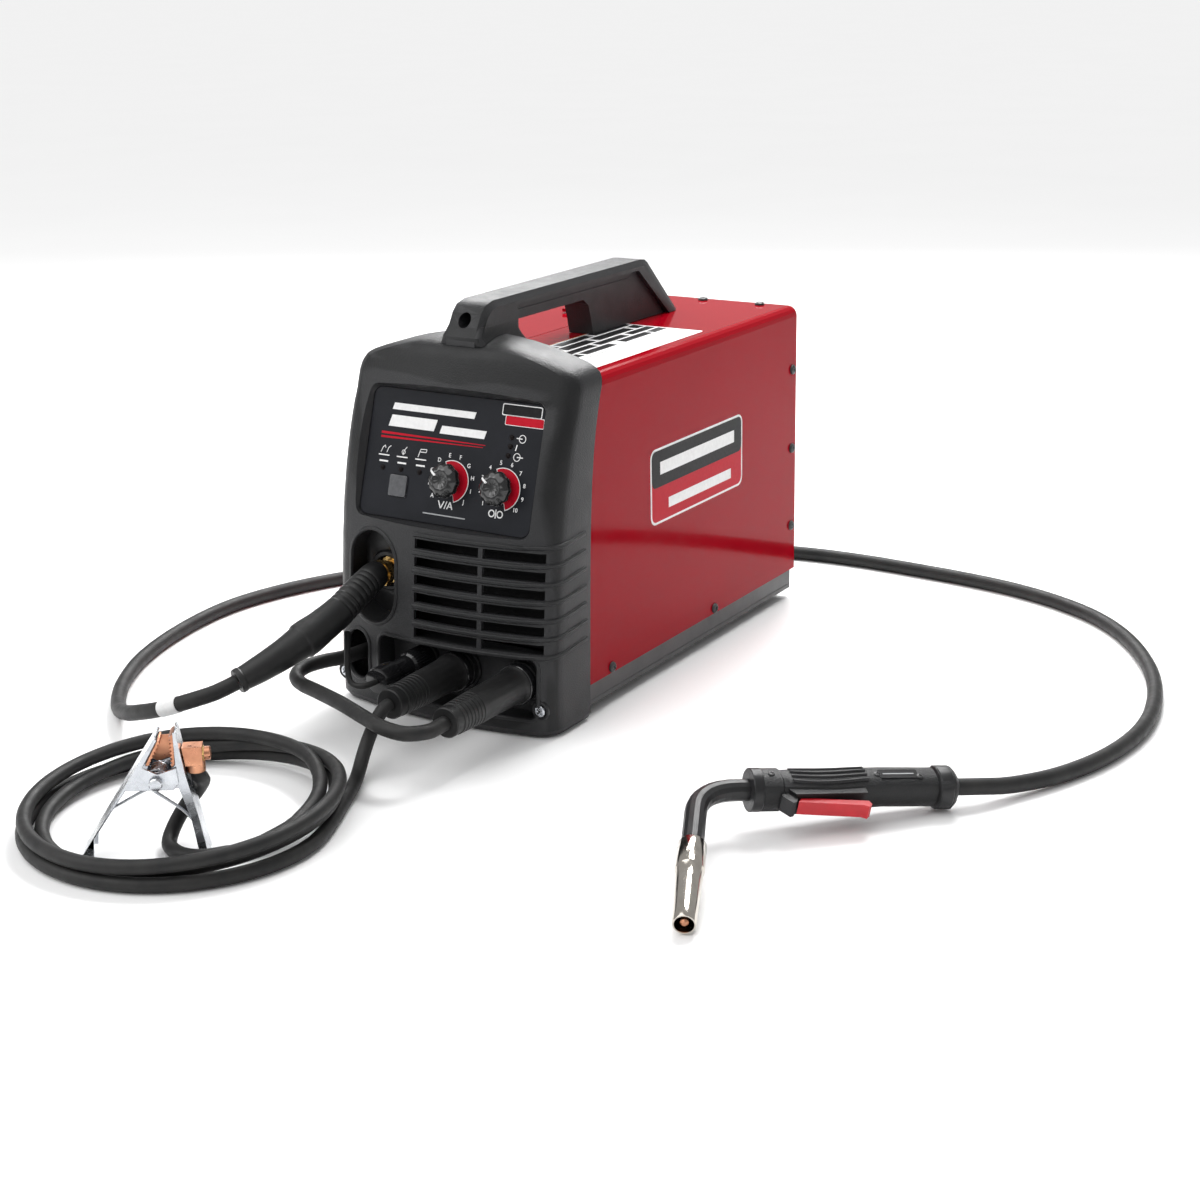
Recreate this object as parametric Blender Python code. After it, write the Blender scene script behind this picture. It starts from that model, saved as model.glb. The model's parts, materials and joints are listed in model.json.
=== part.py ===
"""Wire-feed welder: a sheet-steel case with a moulded front, a wire drive behind a side door,
and its gun, polarity lead and work lead laid out around it. Metres, +Z up, front towards -Y."""

import math

import bmesh
import bpy
from mathutils import Vector

MM = 0.001
GAP = 0.3 * MM

# Case
FRONT_Y = -232 * MM
SEAM_Y = FRONT_Y + 75 * MM
REAR_Y = SEAM_Y + 372.6 * MM
BEZEL_HALF = 110 * MM
CASE_HALF = 107.6 * MM
CASE_BOTTOM = 29 * MM
CASE_TOP = 284.4 * MM
CASE_BEND = 9 * MM
SHEET = 1.5 * MM
ROOF_SPLIT_X = -30.5 * MM
PAN_HALF = 104.5 * MM
PAN_BOTTOM = 9 * MM
PAN_TOP = 34 * MM
DIVIDER_X = -22 * MM
SEAM_CLEARANCE = 0.5 * MM

# Front moulding
WALL = 3.5 * MM
BEZEL_BOTTOM = 2 * MM
SHOULDER_Z = 275.2 * MM
SHOULDER_R = 18.5 * MM
ARCH_FOOT_Z = 292.5 * MM
ARCH_HALF = 98 * MM
ARCH_TOP = 311 * MM
CORNER_R = 20 * MM
BULGE = 10 * MM
STRAIGHT_TOP = 42 * MM
LEAN_TOP = 285 * MM
BROW_Z = 262 * MM
BROW_SLOPE = 0.32
CREST_ROLL = 36 * MM

# Control panel, a plane that leans back
PANEL_CENTRE = Vector((0, SEAM_Y - 36 * MM, 215 * MM))
PANEL_LEAN = math.radians(17.3)
PANEL_UP = Vector((0, math.sin(PANEL_LEAN), math.cos(PANEL_LEAN)))
PANEL_OUT = Vector((0, -math.cos(PANEL_LEAN), math.sin(PANEL_LEAN)))
PANEL_HALF_X = 84.5 * MM
PANEL_HALF_UP = 53 * MM
PANEL_T = 2.5 * MM
OUTPUT_KNOB = (3.5 * MM, -16.9 * MM)
SPEED_KNOB = (53.7 * MM, -17.2 * MM)
BUTTON_AT = (-48 * MM, -26.5 * MM)
BUTTON_HALF = 8.8 * MM

# Wire line and sockets
WIRE_X = -66 * MM
WIRE_Z = 113 * MM
SOCKET_FLOOR_Y = SEAM_Y - 50 * MM
POSITIVE_AT = (77 * MM, 45 * MM)
NEGATIVE_AT = (15 * MM, 45 * MM)
TRIGGER_AT = (-21 * MM, 48 * MM)
LEAD_HOLE_AT = (-81 * MM, 45 * MM)

# Cords
GUN_CABLE_R = 6.5 * MM
POLARITY_R = 6 * MM
WORK_R = 5.5 * MM
TRIGGER_LEAD_R = 2.5 * MM
COIL_CENTRE = (-42 * MM, SEAM_Y - 322 * MM)
COIL_INNER = 98 * MM
COIL_OUTER = 124 * MM
COIL_HEIGHT = 22 * MM

FINISHES = {
    "black_plastic": ((0.035, 0.036, 0.038), 0.55, 0.0),
    "black_paint": ((0.02, 0.02, 0.021), 0.35, 0.0),
    "red_paint": ((0.45, 0.008, 0.015), 0.22, 0.0),
    "panel_film": ((0.012, 0.013, 0.016), 0.4, 0.0),
    "grey_button": ((0.18, 0.18, 0.19), 0.45, 0.0),
    "rubber": ((0.022, 0.022, 0.022), 0.7, 0.0),
    "brass": ((0.72, 0.5, 0.2), 0.3, 1.0),
    "copper": ((0.8, 0.38, 0.22), 0.35, 1.0),
    "zinc": ((0.66, 0.68, 0.7), 0.35, 1.0),
    "nickel": ((0.75, 0.74, 0.71), 0.15, 1.0),
    "steel": ((0.5, 0.5, 0.52), 0.4, 1.0),
    "aluminium": ((0.7, 0.71, 0.73), 0.4, 1.0),
    "board": ((0.02, 0.16, 0.06), 0.5, 0.0),
    "winding": ((0.42, 0.18, 0.06), 0.5, 0.4),
    "trigger_red": ((0.6, 0.02, 0.025), 0.4, 0.0),
}


# ---------------------------------------------------------------- helpers


def finish(name):
    """The material of this name, made on first use."""
    found = bpy.data.materials.get(name)
    if found:
        return found
    colour, roughness, metallic = FINISHES[name]
    made = bpy.data.materials.new(name)
    made.use_nodes = True
    shader = made.node_tree.nodes["Principled BSDF"]
    shader.inputs["Base Color"].default_value = (*colour, 1)
    shader.inputs["Roughness"].default_value = roughness
    shader.inputs["Metallic"].default_value = metallic
    return made


def solid(name, points, faces, look, origin=(0, 0, 0)):
    """A mesh object from world points, with its origin where it turns or stands."""
    origin = Vector(origin)
    mesh = bpy.data.meshes.new(name)
    mesh.from_pydata([Vector(p) - origin for p in points], [], faces)
    form = bmesh.new()
    form.from_mesh(mesh)
    bmesh.ops.recalc_face_normals(form, faces=form.faces)
    form.to_mesh(mesh)
    form.free()
    mesh.shade_smooth()
    mesh.set_sharp_from_angle(angle=math.radians(35))
    made = bpy.data.objects.new(name, mesh)
    made.location = origin
    made.data.materials.append(finish(look))
    bpy.context.collection.objects.link(made)
    return made


def loft(name, rings, look, origin=(0, 0, 0)):
    """A closed solid through rings that all have the same number of points."""
    count = len(rings[0])
    points = [p for ring in rings for p in ring]
    faces = [list(range(count)), list(range(len(points) - count, len(points)))]
    for row in range(len(rings) - 1):
        for i in range(count):
            j = (i + 1) % count
            a, b = row * count + i, row * count + j
            faces.append([a, b, b + count, a + count])
    return solid(name, points, faces, look, origin)


def extrude(name, outline, base, u, v, low, high, look, origin=None):
    """A flat outline in the plane of u and v, drawn out along their normal."""
    u, v = Vector(u), Vector(v)
    out = u.cross(v)
    flat = [Vector(base) + u * a + v * b for a, b in outline]
    rings = [[p + out * low for p in flat], [p + out * high for p in flat]]
    return loft(name, rings, look, base if origin is None else origin)


def along_x(name, outline, low, high, look, origin=(0, 0, 0)):
    """Outline of (y, z) points, drawn out along X."""
    return extrude(name, outline, (0, 0, 0), (0, 1, 0), (0, 0, 1), low, high, look, origin)


def along_y(name, outline, low, high, look, origin=(0, 0, 0)):
    """Outline of (x, z) points, drawn out along Y."""
    return extrude(name, outline, (0, 0, 0), (1, 0, 0), (0, 0, 1), -high, -low, look, origin)


def along_z(name, outline, low, high, look, origin=(0, 0, 0)):
    """Outline of (x, y) points, drawn out along Z."""
    return extrude(name, outline, (0, 0, 0), (1, 0, 0), (0, 1, 0), low, high, look, origin)


def box(name, x, y, z, look, origin=(0, 0, 0)):
    """A block between two limits on each axis."""
    outline = [(x[0], y[0]), (x[1], y[0]), (x[1], y[1]), (x[0], y[1])]
    return along_z(name, outline, z[0], z[1], look, origin)


def rounded(centre, half_a, half_b, radius, steps=4):
    """Outline of a rectangle with round corners."""
    outline = []
    for turn, (side_a, side_b) in enumerate(((1, 1), (-1, 1), (-1, -1), (1, -1))):
        for step in range(steps + 1):
            angle = math.pi / 2 * (turn + step / steps)
            a = centre[0] + side_a * (half_a - radius) + radius * math.cos(angle)
            b = centre[1] + side_b * (half_b - radius) + radius * math.sin(angle)
            outline.append((a, b))
    return outline


def circle(centre, radius, sides=20):
    """Outline of a circle."""
    turns = [2 * math.pi * i / sides for i in range(sides)]
    return [(centre[0] + radius * math.cos(t), centre[1] + radius * math.sin(t)) for t in turns]


def turned(name, profile, centre, axis, look, sides=20):
    """A turned piece: profile points are (radius, distance along the axis from the centre).
    A profile that starts and ends on the axis is solid; any other is a closed ring."""
    turn = Vector((0, 0, 1)).rotation_difference(Vector(axis))
    centre = Vector(centre)
    is_ring = profile[0][0] > 0
    points, rows = [], []
    for radius, height in profile:
        count = sides if radius > 0 else 1
        rows.append([len(points) + i for i in range(count)])
        for i in range(count):
            angle = 2 * math.pi * i / sides
            local = Vector((radius * math.cos(angle), radius * math.sin(angle), height))
            points.append(centre + turn @ local)
    faces = []
    pairs = list(zip(rows, rows[1:]))
    if is_ring:
        pairs.append((rows[-1], rows[0]))
    for first, second in pairs:
        for i in range(sides):
            j = (i + 1) % sides
            corners = [first[i % len(first)], first[j % len(first)]]
            corners += [second[j % len(second)], second[i % len(second)]]
            faces.append(list(dict.fromkeys(corners)))
    return solid(name, points, faces, look, centre)


def smooth_path(points, spacing):
    """Points about this far apart on one smooth curve through the given ones."""
    knots = [Vector(p) for p in points]
    ends = [knots[0] * 2 - knots[1]] + knots + [knots[-1] * 2 - knots[-2]]
    path = []
    for i in range(1, len(ends) - 2):
        p0, p1, p2, p3 = ends[i - 1 : i + 3]
        steps = max(1, round((p2 - p1).length / spacing))
        for step in range(steps):
            t = step / steps
            bend = (p0 * 2 - p1 * 5 + p2 * 4 - p3) * t * t
            twist = (p1 * 3 - p0 - p2 * 3 + p3) * t * t * t
            path.append((p1 * 2 + (p2 - p0) * t + bend + twist) / 2)
    path.append(knots[-1])
    return path


def cord(name, points, radius, spacing, look="rubber", sides=2):
    """A plain tube along a smooth curve through the points."""
    path = smooth_path(points, spacing)
    curve = bpy.data.curves.new(name, "CURVE")
    curve.dimensions = "3D"
    curve.bevel_depth = radius
    curve.bevel_resolution = sides
    curve.use_fill_caps = True
    spline = curve.splines.new("POLY")
    spline.points.add(len(path) - 1)
    for knot, place in zip(spline.points, path):
        knot.co = (*place, 1)
    made = bpy.data.objects.new(name, curve)
    made.data.materials.append(finish(look))
    bpy.context.collection.objects.link(made)
    return made


def sweep(name, points, radii, look, sides=16, origin=(0, 0, 0)):
    """A round solid along a path, with its own radius at each point."""
    places = [Vector(p) for p in points]
    rings = []
    side = None
    for i, place in enumerate(places):
        run = places[min(i + 1, len(places) - 1)] - places[max(i - 1, 0)]
        run.normalize()
        if side is None:
            side = run.orthogonal().normalized()
        side = (side - run * side.dot(run)).normalized()
        other = run.cross(side)
        ring = []
        for k in range(sides):
            angle = 2 * math.pi * k / sides
            ring.append(place + (side * math.cos(angle) + other * math.sin(angle)) * radii[i])
        rings.append(ring)
    return loft(name, rings, look, origin)


def tool(made):
    """Marks a cutter, guide or filler, which isn't a piece itself."""
    made.hide_render = True
    made.display_type = "WIRE"
    return made


def combine(target, other, operation):
    """A Boolean on the target, with the other shape kept as a hidden tool."""
    tool(other)
    step = target.modifiers.new(operation.title(), "BOOLEAN")
    step.operation = operation
    step.object = other


def cut(target, other):
    combine(target, other, "DIFFERENCE")


def fuse(target, other):
    combine(target, other, "UNION")


def fit_to(target, other):
    combine(target, other, "INTERSECT")


def from_seam(y_mm):
    """A place behind the seam between front moulding and case, in millimetres."""
    return SEAM_Y + y_mm * MM


def mm_outline(pairs):
    """Outline given in millimetres."""
    return [(a * MM, b * MM) for a, b in pairs]


def side_outline(pairs):
    """Side outline in millimetres: distance behind the seam, and height."""
    return [(from_seam(y), z * MM) for y, z in pairs]


# ---------------------------------------------------------------- front moulding


def front_y(z):
    """Foremost point of the front: upright below, leaning back above, rolling over at the crest."""
    rise = max(0.0, (min(z, BROW_Z) - STRAIGHT_TOP) / (LEAN_TOP - STRAIGHT_TOP))
    lean = FRONT_Y + (18.3 * rise + 36.7 * rise**4) * MM
    roll = max(0.0, (z - LEAN_TOP) / (ARCH_TOP - LEAN_TOP))
    return lean + BROW_SLOPE * max(0.0, z - BROW_Z) + CREST_ROLL * roll**8


def seam_y(z):
    """Rear edge of the front moulding, which also leans back towards the top."""
    rise = max(0.0, (z - 26 * MM) / (252 * MM))
    return SEAM_Y + (-5 + 9.5 * rise + 18 * rise**5) * MM


def back_y(z):
    """Rear limit of the moulding: the seam, and above it the steep back of the crest."""
    if z <= LEAN_TOP:
        return seam_y(z)
    return seam_y(LEAN_TOP) - 0.15 * (z - LEAN_TOP)


def half_width(z):
    """Half the moulding's width: straight sides, round shoulders, shallow arch."""
    if z <= SHOULDER_Z:
        return BEZEL_HALF
    if z < ARCH_FOOT_Z:
        return BEZEL_HALF - SHOULDER_R + math.sqrt(SHOULDER_R**2 - (z - SHOULDER_Z) ** 2)
    return ARCH_HALF * math.sqrt(max(0.0, ARCH_TOP - z) / (ARCH_TOP - ARCH_FOOT_Z))


def bezel_ring(z, inset, rear, squeeze=0.0):
    """Plan outline of the moulding at one height, set in by a wall."""
    wide = half_width(z + inset) - inset - squeeze
    slope = (front_y(z + MM) - front_y(z)) / MM
    front = front_y(z) + inset * math.hypot(1, slope) + squeeze
    bulge = BULGE * (wide / BEZEL_HALF) ** 2
    radius = min(CORNER_R - inset, 0.4 * wide, 0.4 * (rear - front - bulge))
    flat = wide - radius
    half = []
    for step in range(5):
        angle = math.pi / 8 * step
        half.append((flat + radius * math.cos(angle), front + bulge + radius * (1 - math.sin(angle))))
    for share in (0.75, 0.5, 0.25):
        half.append((flat * share, front + bulge * share**2))
    right = [(wide, rear)] + half
    left = [(-x, y) for x, y in reversed(right)]
    return [Vector((x, y, z)) for x, y in right + [(0, front)] + left]


def bezel_form(name, inset, open_back):
    """The moulding's outer shape set in by a wall; the hollow runs out through the back."""
    heights = [7, 24, 42, 75, 110, 145, 175, 200, 222, 240, 252, 262, 270, 277, 282, 286, 289.5]
    roof = ARCH_FOOT_Z - max(inset, 0)
    far_back = from_seam(80)
    rings = []
    floor = BEZEL_BOTTOM + inset
    rings.append((floor, 3 * MM if inset <= 0 else 0.0))
    rings += [(z * MM, 0.0) for z in heights if floor + MM < z * MM < roof - MM]
    placed = []
    for z, squeeze in rings:
        rear = far_back if open_back else back_y(z) - min(inset, 0)
        placed.append(bezel_ring(z, inset, rear, squeeze))
    rises = (0, 4, 8) if inset > 0 else (0, 4, 8, 11.5, 14.5, 16.8, 18)
    for rise in rises:
        z = roof + rise * MM
        placed.append(bezel_ring(z, inset, back_y(z + inset) - inset))
    return loft(name, placed, "black_plastic")


def panel_extrude(name, outline, low, high, look, origin=None):
    """A shape on the control panel's plane; heights are out of the panel."""
    base = PANEL_CENTRE
    return extrude(name, outline, base, (1, 0, 0), PANEL_UP, low, high, look, origin)


def panel_point(at, out=0.0):
    """World place of a point on the control panel."""
    return PANEL_CENTRE + Vector((at[0], 0, 0)) + PANEL_UP * at[1] + PANEL_OUT * out


def front_bezel():
    bezel = bezel_form("front_bezel", 0.0, False)
    cut(bezel, bezel_form("bezel_hollow", WALL, True))
    front, deep = from_seam(-95), from_seam(-38)
    panel_pod = panel_extrude(
        "panel_pod", rounded((0, 0), 98 * MM, 61 * MM, 10 * MM), -6 * MM, 40 * MM, "black_plastic"
    )
    gun_at = (WIRE_X + 2 * MM, WIRE_Z + 2 * MM)
    gun_pod = along_y(
        "gun_pod", rounded(gun_at, 28 * MM, 41.5 * MM, 27.9 * MM, 6), front, deep, "black_plastic"
    )
    floor_back = SOCKET_FLOOR_Y + 3 * MM
    socket_pod = along_y(
        "socket_pod", rounded((20 * MM, 42.5 * MM), 79 * MM, 27.5 * MM, 8 * MM), front, floor_back,
        "black_plastic",
    )
    for pod in (panel_pod, gun_pod, socket_pod):
        fit_to(pod, tool(bezel_form(pod.name + "_limit", 1.2 * MM, False)))
        fuse(bezel, pod)
    cut(bezel, panel_pocket())
    cut(bezel, along_y(
        "gun_pocket", rounded(gun_at, 25 * MM, 38.5 * MM, 24.9 * MM, 6), front, deep + MM, "black_plastic"
    ))
    cut(bezel, along_y(
        "socket_pocket", rounded((20 * MM, 42.5 * MM), 76 * MM, 24.8 * MM, 7 * MM), front,
        SOCKET_FLOOR_Y, "black_plastic",
    ))
    cut(bezel, along_y(
        "lead_hole", rounded(LEAD_HOLE_AT, 12 * MM, 21 * MM, 11.9 * MM), front, from_seam(-30),
        "black_plastic",
    ))
    for at, radius in ((POSITIVE_AT, 15 * MM), (NEGATIVE_AT, 15 * MM), (TRIGGER_AT, 10.5 * MM)):
        cut(bezel, along_y("socket_hole", circle(at, radius), front, floor_back + MM, "black_plastic"))
    for at in (OUTPUT_KNOB, SPEED_KNOB):
        cut(bezel, panel_extrude("shaft_hole", circle(at, 4.5 * MM, 12), -9 * MM, MM, "black_plastic"))
    cut(bezel, panel_extrude(
        "button_hole", rounded(BUTTON_AT, 4 * MM, 4 * MM, MM, 1), -9 * MM, MM, "black_plastic"
    ))
    louvre_slots(bezel, front)
    return bezel


def panel_pocket():
    """Recess of the control panel, with walls that flare outwards."""
    rings = []
    for out, half_x, half_up in ((-2.8, 85, 53.5), (0.2, 85, 53.5), (13, 92.5, 58), (60, 120, 74.5)):
        outline = rounded((0, 0), half_x * MM, half_up * MM, 8 * MM)
        rings.append([panel_point(at, out * MM) for at in outline])
    return loft("panel_pocket", rings, "black_plastic")


def louvre_slots(bezel, front):
    """Six rows of cooling slots in two columns beside the gun recess."""
    rows, pitch, lowest, half_height = 6, 14.8 * MM, 76 * MM, 4.1 * MM
    for row in range(rows):
        z = lowest + pitch * row
        for low, high in ((-18 * MM, 43.5 * MM), (47.5 * MM, 101 * MM)):
            slot = box(
                "louvre", (low, high), (front, from_seam(-45)), (z - half_height, z + half_height),
                "black_plastic",
            )
            cut(bezel, slot)


# ---------------------------------------------------------------- control panel


def control_panel():
    plate = panel_extrude(
        "control_plate", rounded((0, 0), PANEL_HALF_X, PANEL_HALF_UP, 7.5 * MM), -PANEL_T, 0.0,
        "panel_film",
    )
    for at in (OUTPUT_KNOB, SPEED_KNOB):
        cut(plate, panel_extrude("plate_hole", circle(at, 4.5 * MM, 12), -9 * MM, 9 * MM, "steel"))
    half = BUTTON_HALF + GAP
    cut(plate, panel_extrude(
        "plate_window", rounded(BUTTON_AT, half, half, 1.5 * MM, 1), -9 * MM, 9 * MM, "steel"
    ))
    profile = mm_outline([
        (0, -14), (3.5, -14), (3.5, 0.5), (13.5, 0.5), (13.5, 3), (11, 4), (10, 15), (8.5, 16.2), (0, 16.2)
    ])
    for name, at in (("output_knob", OUTPUT_KNOB), ("wire_speed_knob", SPEED_KNOB)):
        turned(name, profile, panel_point(at), PANEL_OUT, "black_plastic", 24)
    button = panel_extrude(
        "process_button", rounded(BUTTON_AT, BUTTON_HALF, BUTTON_HALF, 1.5 * MM, 2), -1.2 * MM, 1.5 * MM,
        "grey_button", panel_point(BUTTON_AT),
    )
    stem = panel_extrude(
        "button_stem", rounded(BUTTON_AT, 3 * MM, 3 * MM, MM, 1), -12 * MM, 0.0, "grey_button"
    )
    fuse(button, stem)
    board = panel_extrude(
        "control_board", rounded((0, -2 * MM), 74 * MM, 40 * MM, 3 * MM, 2), -26 * MM, -24.4 * MM, "board"
    )
    for at in (OUTPUT_KNOB, SPEED_KNOB):
        body = mm_outline([(0, -25), (8, -25), (8, -14.3), (0, -14.3)])
        fuse(board, turned("potentiometer", body, panel_point(at), PANEL_OUT, "steel", 12))


# ---------------------------------------------------------------- case


def bent_sheet(name, side, bottom, roof_x, look, origin=(0, 0, 0)):
    """A side panel that bends over into the roof: its front edge follows the slanted seam."""
    section = [(CASE_HALF, z, 1, 0) for z in (bottom, 110 * MM, 180 * MM, 225 * MM, 250 * MM)]
    for step in range(5):
        angle = math.pi / 8 * step
        out, rise = math.cos(angle), math.sin(angle)
        x = CASE_HALF - CASE_BEND + CASE_BEND * out
        z = CASE_TOP - CASE_BEND + CASE_BEND * rise
        section.append((x, z, out, rise))
    section.append((roof_x, CASE_TOP, 0, 1))
    rings = []
    for x, z, out, rise in section:
        front = seam_y(z) + SEAM_CLEARANCE
        inner_x, inner_z = x - SHEET * out, z - SHEET * rise
        corners = [(x, front, z), (x, REAR_Y, z), (inner_x, REAR_Y, inner_z), (inner_x, front, inner_z)]
        rings.append([Vector((side * px, py, pz)) for px, py, pz in corners])
    return loft(name, rings, look, origin)


HINGE_X = -105.2 * MM
HINGE_Z = 37 * MM
KNUCKLE_R = 2.6 * MM
KNUCKLES = (from_seam(45), from_seam(300))
KNUCKLE_HALF = 12 * MM
PAN_KNUCKLE = 18 * MM
DOOR_BOTTOM = HINGE_Z - 1.6 * MM
LATCH_X, LATCH_Y = -52 * MM, from_seam(250)


def case_panels():
    bent_sheet("case_cover", 1, CASE_BOTTOM, ROOF_SPLIT_X + MM, "red_paint")
    door = bent_sheet(
        "side_door", -1, DOOR_BOTTOM, -ROOF_SPLIT_X, "red_paint", (HINGE_X, SEAM_Y, HINGE_Z)
    )
    for middle in KNUCKLES:
        barrel = along_y(
            "door_knuckle", circle((HINGE_X, HINGE_Z), KNUCKLE_R, 10), middle - KNUCKLE_HALF,
            middle + KNUCKLE_HALF, "red_paint",
        )
        fuse(door, barrel)
        notch_y = (middle + KNUCKLE_HALF, middle + KNUCKLE_HALF + PAN_KNUCKLE + 2 * GAP)
        cut(door, box(
            "hinge_notch", (-120 * MM, -90 * MM), notch_y, (CASE_BOTTOM, HINGE_Z + 3.4 * MM), "red_paint"
        ))
    cut(door, along_z(
        "latch_hole", circle((LATCH_X, LATCH_Y), 4.4 * MM, 12), CASE_TOP - 0.01, CASE_TOP + 0.01,
        "red_paint",
    ))
    latch_profile = mm_outline(
        [(0, -7), (9, -7), (9, -3), (4, -3), (4, 0.3), (10, 0.3), (10, 5), (8, 6.5), (0, 6.5)]
    )
    latch = turned(
        "door_latch", latch_profile, (LATCH_X, LATCH_Y, CASE_TOP), (0, 0, 1), "red_paint", 16
    )
    fuse(latch, box(
        "latch_lever", (-72 * MM, -49 * MM), (from_seam(246.3), from_seam(253.7)),
        (CASE_TOP + 1.2 * MM, CASE_TOP + 4.1 * MM), "red_paint",
    ))


def base_pan():
    front, rear = from_seam(-26), REAR_Y - 3 * MM
    pan = box("base_pan", (-PAN_HALF, PAN_HALF), (front, rear), (PAN_BOTTOM, PAN_TOP), "black_paint")
    inner = PAN_HALF - 2 * MM
    cut(pan, box(
        "pan_hollow", (-inner, inner), (front + 2 * MM, rear - 2 * MM), (PAN_BOTTOM + 2 * MM, PAN_TOP + MM),
        "black_paint",
    ))
    for middle in KNUCKLES:
        start = middle + KNUCKLE_HALF + GAP
        end = start + PAN_KNUCKLE
        wall_x = -PAN_HALF
        barrel = along_y("pan_knuckle", circle((HINGE_X, HINGE_Z), KNUCKLE_R, 10), start, end, "black_paint")
        fuse(pan, box(
            "hinge_leaf", (wall_x, wall_x + 2 * MM), (start, end), (30 * MM, 39 * MM), "black_paint"
        ))
        fuse(pan, barrel)
    for side in (-1, 1):
        for name, y in (("front", from_seam(12)), ("rear", from_seam(335))):
            profile = mm_outline([(0, 0), (10, 0), (12, 2), (12, 8.7), (0, 8.7)])
            label = "foot_" + name + ("_left" if side < 0 else "_right")
            turned(label, profile, (side * 82 * MM, y, 0), (0, 0, 1), "rubber", 16)


def rear_panel():
    back = REAR_Y - MM
    panel = along_y(
        "rear_panel", rounded((0, 156.5 * MM), 105.6 * MM, 121 * MM, 10 * MM), back - SHEET, back,
        "black_paint",
    )
    for row in range(9):
        z = (96 + 11 * row) * MM
        reach = math.sqrt(max(0.0, (50 * MM) ** 2 - (z - 140 * MM) ** 2))
        cut(panel, box(
            "rear_vent", (45 * MM - reach, 45 * MM + reach), (back - 0.01, back + 0.01),
            (z - 3 * MM, z + 3 * MM), "black_paint",
        ))
    for at, radius in (((-62 * MM, 70 * MM), 11.4 * MM), ((-62 * MM, 118 * MM), 6.4 * MM)):
        cut(panel, along_y("fitting_hole", circle(at, radius, 16), back - 0.01, back + 0.01, "black_paint"))
    cut(panel, box(
        "switch_hole", (-75.4 * MM, -48.6 * MM), (back - 0.01, back + 0.01), (217.6 * MM, 250.4 * MM),
        "black_paint",
    ))
    return panel


def rear_fittings():
    back = REAR_Y - MM
    gland = mm_outline([(6, -14), (11, -14), (11, 0.3), (17, 0.3), (17, 7), (13, 8), (10, 17.4), (6, 17.4)])
    turned("cord_inlet_gland", gland, (-62 * MM, back, 70 * MM), (0, 1, 0), "rubber", 16)
    fitting = mm_outline([(2.5, -12), (6, -12), (6, 0.3), (10, 0.3), (10, 6), (7, 6), (7, 16), (2.5, 16)])
    valve = turned("gas_inlet_valve", fitting, (-62 * MM, back, 118 * MM), (0, 1, 0), "brass", 12)
    fuse(valve, box(
        "valve_coil", (-76 * MM, -48 * MM), (back - 50 * MM, back - 10 * MM), (102 * MM, 134 * MM), "brass"
    ))
    frame = box(
        "power_switch_frame", (-75 * MM, -49 * MM), (back - 22 * MM, back + 3 * MM), (218 * MM, 250 * MM),
        "black_plastic",
    )
    fuse(frame, box(
        "switch_flange", (-78 * MM, -46 * MM), (back + GAP, back + 3 * MM), (215 * MM, 253 * MM),
        "black_plastic",
    ))
    cut(frame, box(
        "switch_well", (-71 * MM, -53 * MM), (back - 12 * MM, back + 5 * MM), (221.5 * MM, 246.5 * MM),
        "black_plastic",
    ))
    rocker = side_rocker(back)
    tip_axis = (-62 * MM, back - 3 * MM, 234 * MM)
    along_x("power_switch", rocker, -70.5 * MM, -53.5 * MM, "black_paint", tip_axis)


def side_rocker(back):
    """Rocker seen from the side: a shallow vee that tips about its middle."""
    low, middle, high = (back + 4.5 * MM, back + 1.5 * MM, back + 3 * MM)
    return [
        (back - 8 * MM, 230 * MM), (back - 8 * MM, 238 * MM), (back, 244.5 * MM), (high, 244.5 * MM),
        (middle, 234 * MM), (low, 223.5 * MM), (back, 223.5 * MM),
    ]


def carry_handle():
    """A broad outer band with bevelled edges over a narrower grip, and a flared front foot."""
    inner = [(290, 284.8), (236, 331), (43, 331), (42, 284.8), (8, 284.8)]
    full = [(-18, 290), (-15.5, 309), (-11, 320), (-5, 330), (1, 335.5), (12, 338.5), (244, 339.5),
            (252, 338.5), (257, 335.5), (309, 284.8)] + inner
    edge = [(-13, 290), (-10.5, 308), (-6.5, 317), (-1, 326), (5, 331), (14, 333.5), (240, 334.5),
            (246, 333.5), (251, 330.5), (301, 284.8)] + inner
    rings = []
    for x, outline in ((-17.5, edge), (-14, full), (14, full), (17.5, edge)):
        rings.append([Vector((x * MM, y, z)) for y, z in side_outline(outline)])
    handle = loft("carry_handle", rings, "black_plastic")
    grip = side_outline([
        (38, 317.4), (150, 317.4), (158, 312), (162, 300), (165.5, 284.8), (288, 284.8), (240, 333), (38, 333)
    ])
    fuse(handle, along_x("handle_grip", grip, -12.5 * MM, 12.5 * MM, "black_plastic"))
    foot = []
    flare = ((288, 25, -14, 47), (303, 24.5, -14, 46.5), (307, 21.5, -15, 45), (312, 19, -16, 43.8),
             (320, 17.2, -10, 42.5))
    for z, half, front, rear in flare:
        outline = rounded((0, (front + rear) / 2 * MM), half * MM, (rear - front) / 2 * MM, 5 * MM)
        foot.append([Vector((x, SEAM_Y + y, z * MM)) for x, y in outline])
    fuse(handle, loft("handle_foot", foot, "black_plastic"))
    cut(handle, bezel_form("bezel_clearance", -GAP, False))
    cut(handle, box(
        "roof_clearance", (-40 * MM, 40 * MM), (from_seam(-40), from_seam(340)), (260 * MM, 284.7 * MM),
        "black_plastic",
    ))
    eye = circle((0, 324.5 * MM), 6 * MM, 14)
    cut(handle, along_y("strap_hole", eye, from_seam(-60), from_seam(12), "black_plastic"))


# ---------------------------------------------------------------- inside the case


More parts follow.
